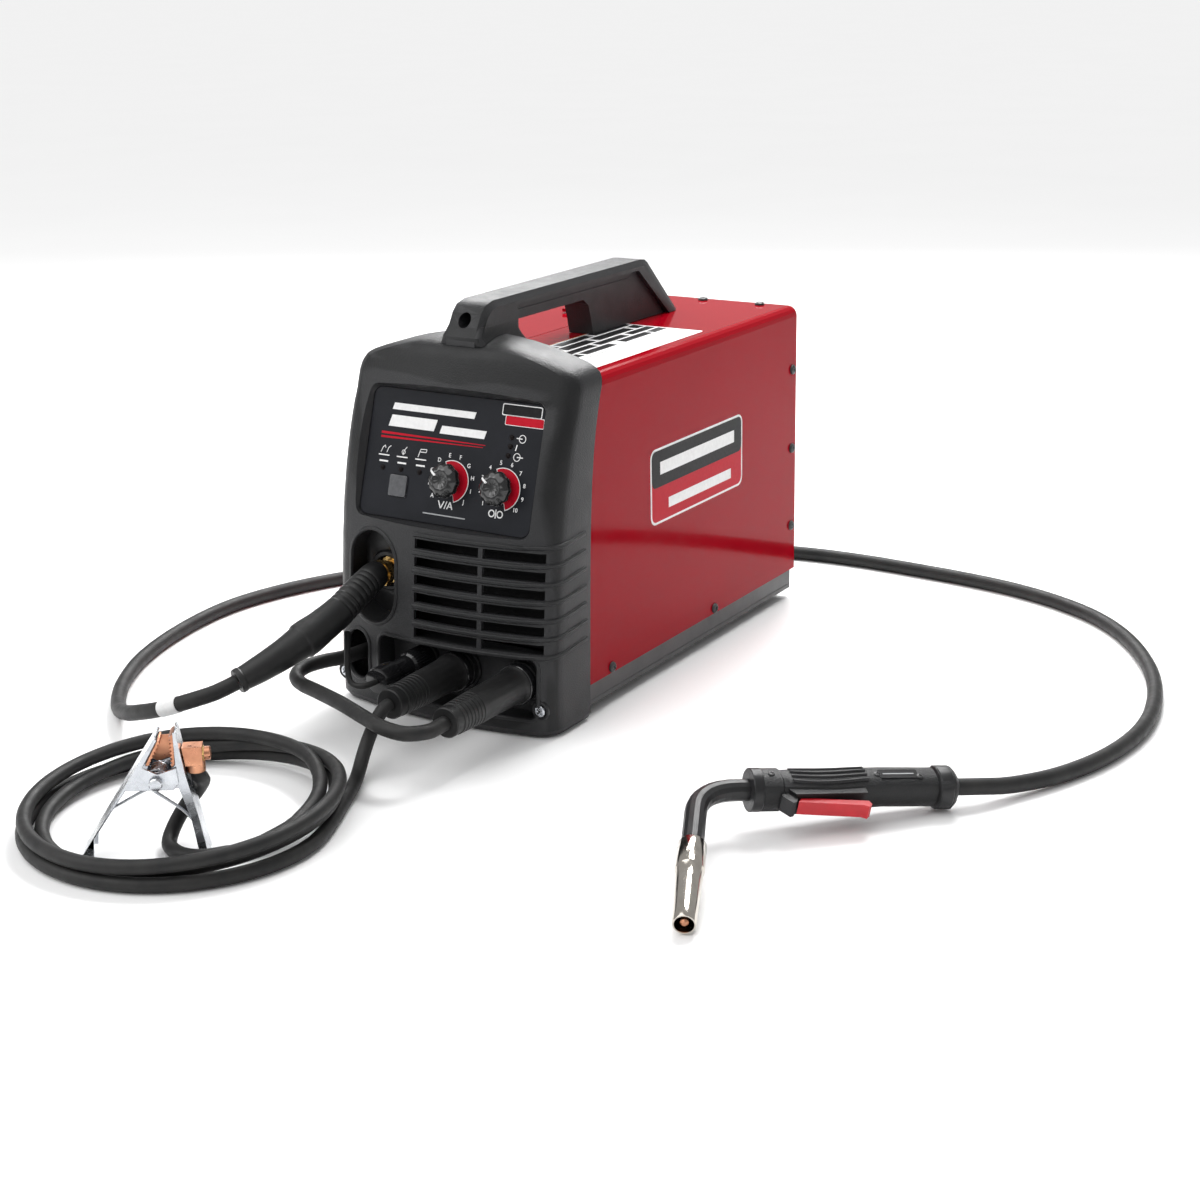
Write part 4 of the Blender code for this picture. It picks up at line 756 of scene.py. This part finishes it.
def fasteners(name, places, axis, radius, height, look):
    for i, place in enumerate(places):
        fastener("%s_%d" % (name, i + 1), at_mm(*place), axis, radius, height, look)


def case_details():
    side_badge("right_badge", 182, RIGHT, "machine")
    side_badge("left_badge", -182, LEFT, "side_door")
    places = [(107.7, y, z) for y, z in ((33, 34.2), (211, 34.2), (364, 225.8), (364, 73.7), (364, 150))]
    fasteners("side_screw", places, X, 4.6, 2.8, "screw_black")
    fasteners("roof_screw", [(72.8, 364, 284.5), (12, 364, 284.5)], Z, 4.6, 2.8, "screw_black")
    spots = ((-98, 42), (98, 42), (-98, 156), (98, 156), (-98, 268), (98, 268), (0, 268), (0, 42))
    fasteners("rear_screw", [(x, REAR, z) for x, z in spots], Y, 4.4, 2.6, "screw_black")
    prints("roof_label", [rounded((48, 134), 42.5, 90, 3)], "print_white", ROOF)
    prints("roof_label_line", [bar(4.4, 5.4, 46, 222)], "print_orange", ROOF, high=OVERPRINT)
    prints("roof_label_title", [bar(8, 60, 52, 62)], "print_orange", ROOF, high=OVERPRINT)
    dark, grey = [], []
    for x0, x1, gaps in ((8, 17, (66, 104, 108, 158, 163, 221)),
                         (20, 31, (66, 90, 96, 141, 146, 204, 209, 221)),
                         (34, 43, (66, 124, 129, 176, 182, 221)),
                         (46, 55, (66, 84, 88, 136, 150, 196, 200, 221))):
        dark += [bar(x0, x1, low, high) for low, high in zip(gaps[::2], gaps[1::2])]
        grey += [bar(x0 + 1.5 + 2.6 * k, x0 + 2.6 + 2.6 * k, gaps[1] - 9, gaps[1] - 3) for k in range(2)]
    grey += [bar(61 + 3.1 * k, 62.5 + 3.1 * k, 52, 216 - 17 * (k % 3)) for k in range(9)]
    prints("roof_label_bars", dark, "print_black", ROOF, high=OVERPRINT)
    prints("roof_label_lines", grey, "print_grey", ROOF, high=OVERPRINT)
    prints("rating_plate", [rounded((-42, 226), 44, 26, 3)], "print_grey", BACK)
    lines = [bar(-82, -6 - 9 * (k % 2), 206 + 5.6 * k, 207.8 + 5.6 * k) for k in range(7)]
    prints("rating_plate_lines", lines + [rounded((-42, 246), 40, 3, 1)], "print_black", BACK, high=OVERPRINT)
    prints("gas_mark", ring_marks((62, 138), 4, 0.8), "print_white", BACK)
    marks = [stroke((62, 259), (62, 265), 1)] + ring_marks((62, 207), 3, 0.9)
    prints("switch_marks", marks, "print_white", BACK)
    turned("gas_thread", [(7, 7)] + [(7.9 if k % 2 else 7.1, 7.6 + 0.8 * k) for k in range(10)] + [(7, 15.4)],
           at_mm(-62, REAR, 118), Y, "brass", sides=32)
    turned("gland_nut", [(13.4, 1.2), (19, 1.2), (19, 6), (18, 7), (13.4, 7.4)], at_mm(-62, REAR, 70), Y,
           "smooth_plastic", sides=6)
    for name, low, high in (("pan_flange_left", -104.9, -104.2), ("pan_flange_right", 104.2, 104.9)):
        block(name, (low, high), (-24, 366), (9.2, 13.5), "black_paint")
    # the pan's slots are thin black discs, not holes: their dark is painted shade of the openings
    for i, y in enumerate((60, 130, 200, 270)):
        for k in range(6):
            turned("pan_slot_shade_disc_%d_%d" % (i + 1, k + 1), [(0, -0.2), (4.5, -0.2), (4.5, 0.15), (0, 0.15)],
                   at_mm(20 * k - 50, y, 9), -Z, "print_black", sides=20)


def handle_details():
    tree = tree_of("carry_handle")
    for side in (-1, 1):
        spots = [touch(tree, at_mm(0, y, 325), X * -side) for y in range(46, 236, 10)]
        bead("grip_seam_" + ("left" if side < 0 else "right"), spots, SEAM, "black_plastic")


# --- inside


def inside_details():
    for i in range(5):
        turned("capacitor_%d" % (i + 1),
               [(0, 0.1), (7.6, 0.1), (8, 1), (8, 27), (7.4, 28.4), (6.6, 28), (0, 28)],
               at_mm(-6, 136 + 40 * i, 85), Z, "capacitor", sides=28)
    for i, (x, up) in enumerate(((-50, 14), (-20, 16), (14, 14), (44, 16), (-40, -30), (20, -34))):
        slab("control_chip_%d" % (i + 1), rounded((x, up), 9, 5, 0.6, 2), PANEL, -29, -26.05,
             "smooth_plastic")
    block("core_left", (3.6, 86.4), (176, 204), (12, 75.4), "steel")
    for i, y in enumerate((146.5, 230.6)):
        block("winding_tape_%d" % (i + 1), (30, 60), (y, y + 2.9), (18, 68), "print_grey")
    fasteners("drive_screw", [(-40.1, 33, 80), (-40.1, 110, 80), (-40.1, 112, 144)], -X, 4, 2.6, "zinc")
    spots = ((30, 60), (200, 40), (340, 60), (340, 250), (120, 262))
    fasteners("divider_screw", [(-22.8, y, z) for y, z in spots], -X, 4.2, 2.6, "zinc")
    guide = [(1.4, -9), (3.4, -9), (3.4, 3), (2.2, 7), (1.4, 7)]
    turned("inlet_guide", guide, at_mm(-67, 94.5, 113), -Y, "brass", sides=24)
    prints("drive_chart", [rounded((-290, 200), 50, 38, 3)], "print_white", DIVIDER)
    chart = [bar(-334, -246, 172 + 8 * k, 172.8 + 8 * k) for k in range(8)]
    chart += [bar(-334 + 17.5 * k, -333.2 + 17.5 * k, 172, 228.8) for k in range(6)]
    prints("drive_chart_lines", chart, "print_black", DIVIDER, high=OVERPRINT)


# --- plugs, boot


def plug_profile(length):
    """A collar, a long taper with finger rings, and the ribs of the cable end."""
    points = [(0, 12), (7.5, 12), (7.5, 0), (15.2, 0), (16, -0.8), (16, -9.4), (15.4, -10.6), (14.9, -12),
              (14.8, -16)]
    points += [(14.4, -34), (14, 42 - length)]
    start = length - 38
    for ring in range(7):
        low = start + ring * 4.2
        fat = 13.9 - 0.16 * ring
        points += [(fat, -low), (fat, -low - 3), (fat - 0.8, -low - 3.4), (fat - 0.8, -low - 3.8)]
    return points + [(12.5, 4 - length), (12.4, 0.8 - length), (11.6, -length), (0, -length)]


def plug_pieces():
    for node, at, length in (("polarity_plug", (77, 45), 103), ("work_plug", (15, 45), 92)):
        centre = at_mm(at[0], -58.3, at[1])
        plug = turned(node + "_look", plug_profile(length), centre, Y, "boot_rubber", node, sides=64,
                      sharp=25, ribs=(16, 0.7, 48 - length, -17))
        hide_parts(node)
        turned(node + "_collar", [(15.6, -1.4), (16.5, -1.4), (17, -2), (17, -8), (16.5, -8.8), (15.6, -8.8)],
               centre, Y, "gloss_plastic", node, sides=64)
    profile = [
        (0, 6), (5.6, 6), (5.6, 0), (11, 0), (11.5, -0.6), (11.5, -23.2), (10.9, -24.2), (9.6, -26),
        (9.4, -30), (9.3, -43.4), (10.4, -45.4), (11, -46.4), (11, -64), (10.4, -65.6), (9, -66), (0, -66),
    ]
    plug = turned("trigger_plug_look", profile, at_mm(-21, -54.3, 48), Y, "gloss_plastic",
                  "trigger_plug", sides=160, sharp=25, ribs=(32, 0.7, -24, -0.4))
    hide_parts("trigger_plug")
    for x in (77, 15):
        turned("socket_flange_%d" % x,
               [(14.8, -0.4), (18.6, -0.4), (18.6, 2.2), (18, 3), (15.4, 3), (14.8, 2.4)],
               at_mm(x, -50, 45), -Y, "smooth_plastic", sides=56)


def sweep(name, path, radii, look, sides=40):
    """A skin of changing radius along a path."""
    rings, side = [], None
    for i, place in enumerate(path):
        run = (path[min(i + 1, len(path) - 1)] - path[max(i - 1, 0)]).normalized()
        if side is None:
            side = run.orthogonal().normalized()
        side = (side - run * side.dot(run)).normalized()
        other = run.cross(side)
        rings.append([place + side * a + other * b for a, b in circle((0, 0), radii[i], sides)])
    return loft(name, rings, look, sharp=25)


def gun_boot():
    path = smooth_path(boot_path(), 1.1 * MM)
    total = run_length(path) / MM
    widths = [(0, 12), (6, 12.3), (30, 12.7), (48, 13.2), (70, 14), (84, 15.2), (92, 15.3), (94, 13.9),
              (112, 12.4), (136, 11), (total - 5, 9.8), (total - 4.4, 10.4), (total - 0.6, 10.4), (total, 9.8)]
    radii, gone = [], 0.0
    for i, place in enumerate(path):
        if i:
            gone += (place - path[i - 1]).length / MM
        for (s0, r0), (s1, r1) in zip(widths, widths[1:]):
            if s0 <= gone <= s1 + 1e-6:
                reach = r0 + (r1 - r0) * (gone - s0) / (s1 - s0)
        if 10 < gone < 50:
            reach -= 0.3 + 0.3 * math.tanh(4 * math.sin(2 * math.pi * gone / 5) - 2)
        radii.append(reach * MM)
    boot = sweep("gun_boot_look", path, radii, "boot_rubber")
    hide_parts("gun_boot")


# --- gun and clamp


def gun_details():
    nozzle = turned("gun_nozzle_look", [
        (8.3, -2), (9.9, -2), (10.2, -1.4), (10.2, 25), (10, 26), (9.5, 27), (9.3, 40), (8.3, NOZZLE - 10),
        (7.9, NOZZLE - 0.6), (7.6, NOZZLE), (6.7, NOZZLE), (6.4, NOZZLE - 1), (6.6, 60), (8, 26),
    ], NOZZLE_REAR, NOZZLE_OUT, "nickel", sides=72)
    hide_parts("gun_nozzle")
    turned("front_collar", [(13.4, 0), (15.4, 0), (15.9, 0.6), (15.9, 7.4), (15.4, 8), (13.4, 8)],
           GUN_FRONT, GUN_BACK, "smooth_plastic", sides=64)
    rear = [(13.8, GRIP - 14), (15.2, GRIP - 14), (15.6, GRIP - 13), (15.6, GRIP - 5), (15, GRIP - 4),
            (13.8, GRIP - 4)]
    turned("rear_collar", rear, GUN_FRONT, GUN_BACK, "smooth_plastic", sides=64)
    tree = tree_of("gun_handle")
    for i, down in enumerate((-8.5, -3.6, 1.3, 6.2)):
        for face, label in ((1, "top"), (-1, "under")):
            places = [gun_place(30 + 3.6 * k, down + 1.8 * math.sin(k / 4.2)) for k in range(17)]
            spots = [touch(tree, place, GUN_SIDE * face, 0.05) for place in places]
            bead("grip_ridge_%s_%d" % (label, i + 1), spots, GRIP_RIDGE, "black_plastic")
    plate, normal = touch(tree, gun_place(112, 0), GUN_SIDE, 0.05)
    face = (plate, GUN_BACK, normal.cross(GUN_BACK).normalized())
    prints("gun_plate", [rounded((0, 0), 15, 4.6, 1.4)], "print_black", face, high=0.45)
    prints("gun_plate_line", [rounded((0, 0), 12, 0.5, 0.3, 2)], "print_grey", face, low=0.4, high=0.55)
    for i, (b, d) in enumerate(((15, 0), (96, 0), (128, 3))):
        spot, normal = touch(tree, gun_place(b, d), GUN_SIDE, 0.05)
        fastener("gun_screw_%d" % (i + 1), spot, normal, 2.6, 1.1, "screw_black")


def clamp_details():
    turns = [(math.radians(296.5 + 2089 * i / 150), -7.4 + 14.8 * i / 150) for i in range(151)]
    wire = [clamp_place(-40.5, 34.4, -7.4), clamp_place(-20, 45.2, -7.4)]
    wire += [clamp_place(-6.5 + 7.6 * math.cos(a), 59.5 + 7.6 * math.sin(a), t) for a, t in turns]
    wire += [clamp_place(9, 37, 7.4), clamp_place(20.2, 23, 7.4)]
    tube("clamp_spring_leg", wire[:5], 1.15 * MM, "zinc", "clamp_arm_left", sides=4)
    spring = tube("clamp_spring_look", wire[3:], 1.15 * MM, "zinc", sides=4)
    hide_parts("clamp_spring")

    def plate(name, outline, low, high, body="machine"):
        loft(name, [[clamp_place(a, z, w) for a, z in outline] for w in (low, high)], "copper", body)

    teeth = []
    for k in range(8):
        a, z = -13.3 + 9.7 * k / 7, 71.8 + 17.8 * k / 7
        teeth += [(a + 1.1, z - 0.6), (a + 2.9, z + 0.2)][: 2 if k < 7 else 1]
    plate("jaw_left", [(-13.3, 71.6), *teeth, (-3.6, 89.6)], -9, 9, "clamp_arm_left")
    teeth = []
    for k in range(8):
        z = 93 - 2.9 * k
        teeth += [(5.9, z), (4.2, z - 1.4)]
    plate("jaw_right", [(7.2, 93.4), *teeth, (5, 69), (6.9, 71.6)], -9, 9)
    plate("jaw_web", [(-13, 73), (-6, 68.5), (4.6, 72), (5.6, 88), (-2.8, 88)], -8, -6.8)
    bolt = clamp_place(12.2, 75.2)
    turned("lug_bolt", [(0, 0.2), (2.4, 0.2), (2.4, 15), (4.9, 15), (4.9, 18.6), (4.2, 19.2), (0, 19.2)],
           bolt, CLAMP_ACROSS, "copper", sides=24)
    turned("lug_nut", [(0, 10.8), (5.6, 10.8), (5.6, 14.8), (0, 14.8)], bolt, CLAMP_ACROSS, "brass", sides=6)
    turned("lug_crimp", [(5.6, -4.4), (6.6, -4.4), (6.6, 3.4), (6.2, 4), (5.6, 4)],
           clamp_place(20.5, 66.4, -1.5), Z, "copper", sides=32)
    for side in (-1, 1):
        turned("pin_cap_%s" % ("front" if side > 0 else "rear"),
               [(0, 15.3), (4.8, 15.3), (4.8, 16.4), (4, 17.2), (2, 17.6), (0, 17.7)],
               clamp_place(-6.5, 59.5), CLAMP_THROUGH * side, "zinc", sides=32)


# --- cords


def boot_path():
    return route([
        (-66, -57.4, 113), (-66, -62, 113), (-67, -84, 104.5), (-70, -101, 95), (-73, -116, 88.5),
        (-76.5, -131, 82.5), (-83, -156, 73.5), (-91, -178, 65.5), (-100, -197, 58.5),
    ])


def cords():
    cable = smooth_path(route([
        (-100.25, -197.6, 58.2), (-109, -213, 53), (-126, -227, 47), (-150, -232, 38), (-178, -228, 28.5),
        (-206, -216, 18.5), (-233, -198, 10.5), (-260, -172, 7.2), (-287, -137, 6.8), (-316, -83, 6.8),
        (-338, -12, 6.8), (-346, 62, 6.8), (-333, 130, 6.8), (-303, 195, 6.8), (-254, 270, 6.8),
        (-190, 348, 6.8), (-110, 418, 6.8), (-25, 464, 6.8), (60, 485, 6.8), (125, 490, 6.8),
        (192, 487, 6.8), (252, 481, 6.8), (302, 471, 6.8), (350, 453, 6.8), (397, 424, 6.8),
        (440, 378, 6.8), (478, 315, 6.8), (503, 247, 6.8), (514, 178, 6.8), (508, 112, 6.8),
        (490, 57, 7.4), (468, 15, 10.2), (452.5, -8.5, 14.4), (436.3, -25.7, 17),
    ]), 9 * MM)
    gun_cable = tube("gun_cable_look", cable, GUN_CABLE_D / 2 * MM, "rubber")
    marker = [p for p in cable if -158 * MM < p.x < -133 * MM and p.y < from_seam(-200)]
    sweep("cable_sleeve", marker, [6.85 * MM] * len(marker), "print_white", sides=32)
    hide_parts("gun_cable")

    lead = smooth_path(route([
        (-78, 12, 95.6), (-78, 12, 83), (-80, 2, 60), (-81, -16, 48.5), (-81, -38, 45.5), (-81.5, -64, 45.5),
        (-85, -84, 46), (-92, -99, 46.5), (-96.5, -117, 46.5), (-92, -135, 46), (-76, -149, 46),
        (-48, -160, 47), (-15, -173, 48), (18, -186, 47), (45, -198, 48), (65, -197, 46.5),
        (76, -183, 45.2), (77, -170, 45), (77, -161.9, 45),
    ]), 5 * MM)
    polarity = tube("polarity_lead_look", lead, POLARITY_D / 2 * MM, "rubber")
    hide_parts("polarity_lead")

    thin = smooth_path(route([
        (-67.5, -97, 75.5), (-62.5, -104, 66), (-52, -118, 55), (-37, -133, 48.5), (-25.5, -134, 47.5),
        (-21.5, -126.5, 47.9), (-21, -120.7, 48),
    ]), 3 * MM)
    trigger = tube("trigger_lead_look", thin, TRIGGER_D / 2 * MM, "rubber", sides=4)
    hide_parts("trigger_lead")
    work_lead()


COIL_KEYS = [
    (0, 128), (0.022, 119.6), (0.046, 113.6), (0.074, 110.4), (0.103, 110.2), (0.135, 112.6), (0.18, 115.8),
    (0.25, 117.8), (0.4, 118.2), (0.6, 117.6), (0.8, 115.6), (0.95, 111.5), (1.12, 107), (1.4, 104.6),
    (1.65, 105),
    (1.85, 107.5), (2.05, 112), (2.25, 116), (2.45, 117), (2.62, 114.5), (2.78, 109.5), (2.92, 103),
    (3.05, 97), (3.17, 92.5),
]
COIL_CENTRE = (-42, -322)
COIL_START = 56
COIL_PITCH = 11.2  # the least distance between two turns, in millimetres
FLOOR_Z = 6.2


def coil_radius(t):
    """Radius of the coil after t turns, on one smooth curve through the keys."""
    last = len(COIL_KEYS) - 1
    i = max(k for k in range(last) if COIL_KEYS[k][0] <= t or k == 0)
    slopes = []
    for k in (i, i + 1):
        (t0, r0), (t1, r1) = COIL_KEYS[max(k - 1, 0)], COIL_KEYS[min(k + 1, last)]
        slopes.append((r1 - r0) / (t1 - t0))
    (t0, r0), (t1, r1) = COIL_KEYS[i : i + 2]
    span = t1 - t0
    u = (t - t0) / span
    ends = r0 * (2 * u**3 - 3 * u**2 + 1) + r1 * (3 * u**2 - 2 * u**3)
    return ends + span * (slopes[0] * (u**3 - 2 * u**2 + u) + slopes[1] * (u**3 - u**2))


def coil_turns():
    """The work lead's turns on the floor: a later turn that crosses an earlier one rides over it."""
    per_turn, half_turn, spread = 40, 20, 4
    total = int(COIL_KEYS[-1][0] * per_turn)
    flat = []
    for step in range(total + 1):
        t = step / per_turn
        angle = math.radians(COIL_START) - 2 * math.pi * t
        radius = coil_radius(t)
        flat.append((COIL_CENTRE[0] + radius * math.cos(angle), COIL_CENTRE[1] + radius * math.sin(angle)))
    lifts = []
    for i, (x, y) in enumerate(flat):
        lift = FLOOR_Z
        for j in range(0, i - half_turn):
            apart = math.hypot(x - flat[j][0], y - flat[j][1])
            if apart < COIL_PITCH:
                lift = max(lift, lifts[j] + math.sqrt(COIL_PITCH**2 - apart**2))
        lifts.append(lift)
    around = [range(max(0, i - spread), min(total, i + spread) + 1) for i in range(total + 1)]
    crest = [max(lifts[k] for k in near) for near in around]
    smooth = [sum(crest[k] for k in near) / len(near) for near in around]
    return [(x, y, z) for (x, y), z in zip(flat, smooth)]


def work_lead():
    points = route([
        (15, -151, 45), (15, -157, 44.3), (15.3, -166, 39.5), (16, -176, 31), (17.5, -186, 21.5),
        (20, -195, 13.4), (24, -204.5, 8),
    ])
    points += route(coil_turns())
    points += route([(38, -349, FLOOR_Z)])
    points += [clamp_place(across, up, through) for across, through, up in (
        (40, 19, 6.2), (24, 22.8, 6.2), (13, 20.5, 6.2), (4, 13.5, 6.2), (-2, 3, 6.3), (-3.5, -7, 7.2),
        (-1, -16.5, 12.5), (5, -21, 22), (13, -21.3, 33), (19.5, -19, 42), (23, -12.5, 50), (21.5, -4, 57),
        (20.5, -1.5, 62.5), (20.5, -1.5, 67.6),
    )]
    path = smooth_path(points, 6 * MM)
    lead = tube("work_lead_look", path, WORK_LEAD_D / 2 * MM, "rubber")
    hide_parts("work_lead", "work_lead_coil", "work_lead_tail")


# --- CAD nodes that stay


DRESS = {
    "black_plastic": {"front_bezel": 0.9, "carry_handle": 1.1, "gun_handle": 0.8},
    "panel_film": {"control_plate": 0.3},
    "red_paint": {"case_cover": 0, "side_door": 0, "door_latch": 0.6},
    "black_paint": {"base_pan": 0.5, "rear_panel": 0.0},
    "steel": {
        "centre_divider": 0, "drive_motor": 0.6, "drive_roll": 0.3, "idler_roll": 0.3, "spool_axle": 0.4,
    },
    "rubber": {"foot_front_left": 0.5, "foot_front_right": 0.5, "foot_rear_left": 0.5,
               "foot_rear_right": 0.5},
    "smooth_plastic": {
        "power_switch_frame": 0.5, "power_switch": 0.5, "cord_inlet_gland": 0.5, "fan_frame": 0.5,
        "fan_rotor": 0.3,
        "tension_knob": 0.4, "gun_thumbscrew": 0.4, "spool_hub": 0.5, "spool_brake_nut": 0.5,
        "positive_socket": 0.5,
        "negative_socket": 0.5, "trigger_socket": 0.4, "gun_neck": 0,
    },
    "brass": {"gas_inlet_valve": 0.3, "gun_socket": 0.4, "gun_brass_end": 0.3},
    "winding": {"transformer": 1.5},
    "aluminium": {"inverter_module": 0.3, "drive_body": 0.5, "pressure_arm": 0.5},
    "zinc": {"clamp_arm_left": 0.4, "clamp_arm_right": 0.3, "clamp_pin": 0.3},
    "copper": {"clamp_lug": 0.3, "contact_tip": 0.2},
    "trigger_red": {"gun_trigger": 0.8},
    "board": {"control_board": 0.1},
    "grey_button": {"process_button": 0.7},
}


def dress_all():
    for look, nodes in DRESS.items():
        for node, width in nodes.items():
            dress(node, look, width)


LOOKS = make_looks()
camera()
studio()
plug_pieces()
gun_boot()
gun_details()
clamp_details()
cords()
panel_graphics()
knobs()
front_relief()
case_details()
handle_details()
inside_details()
dress_all()
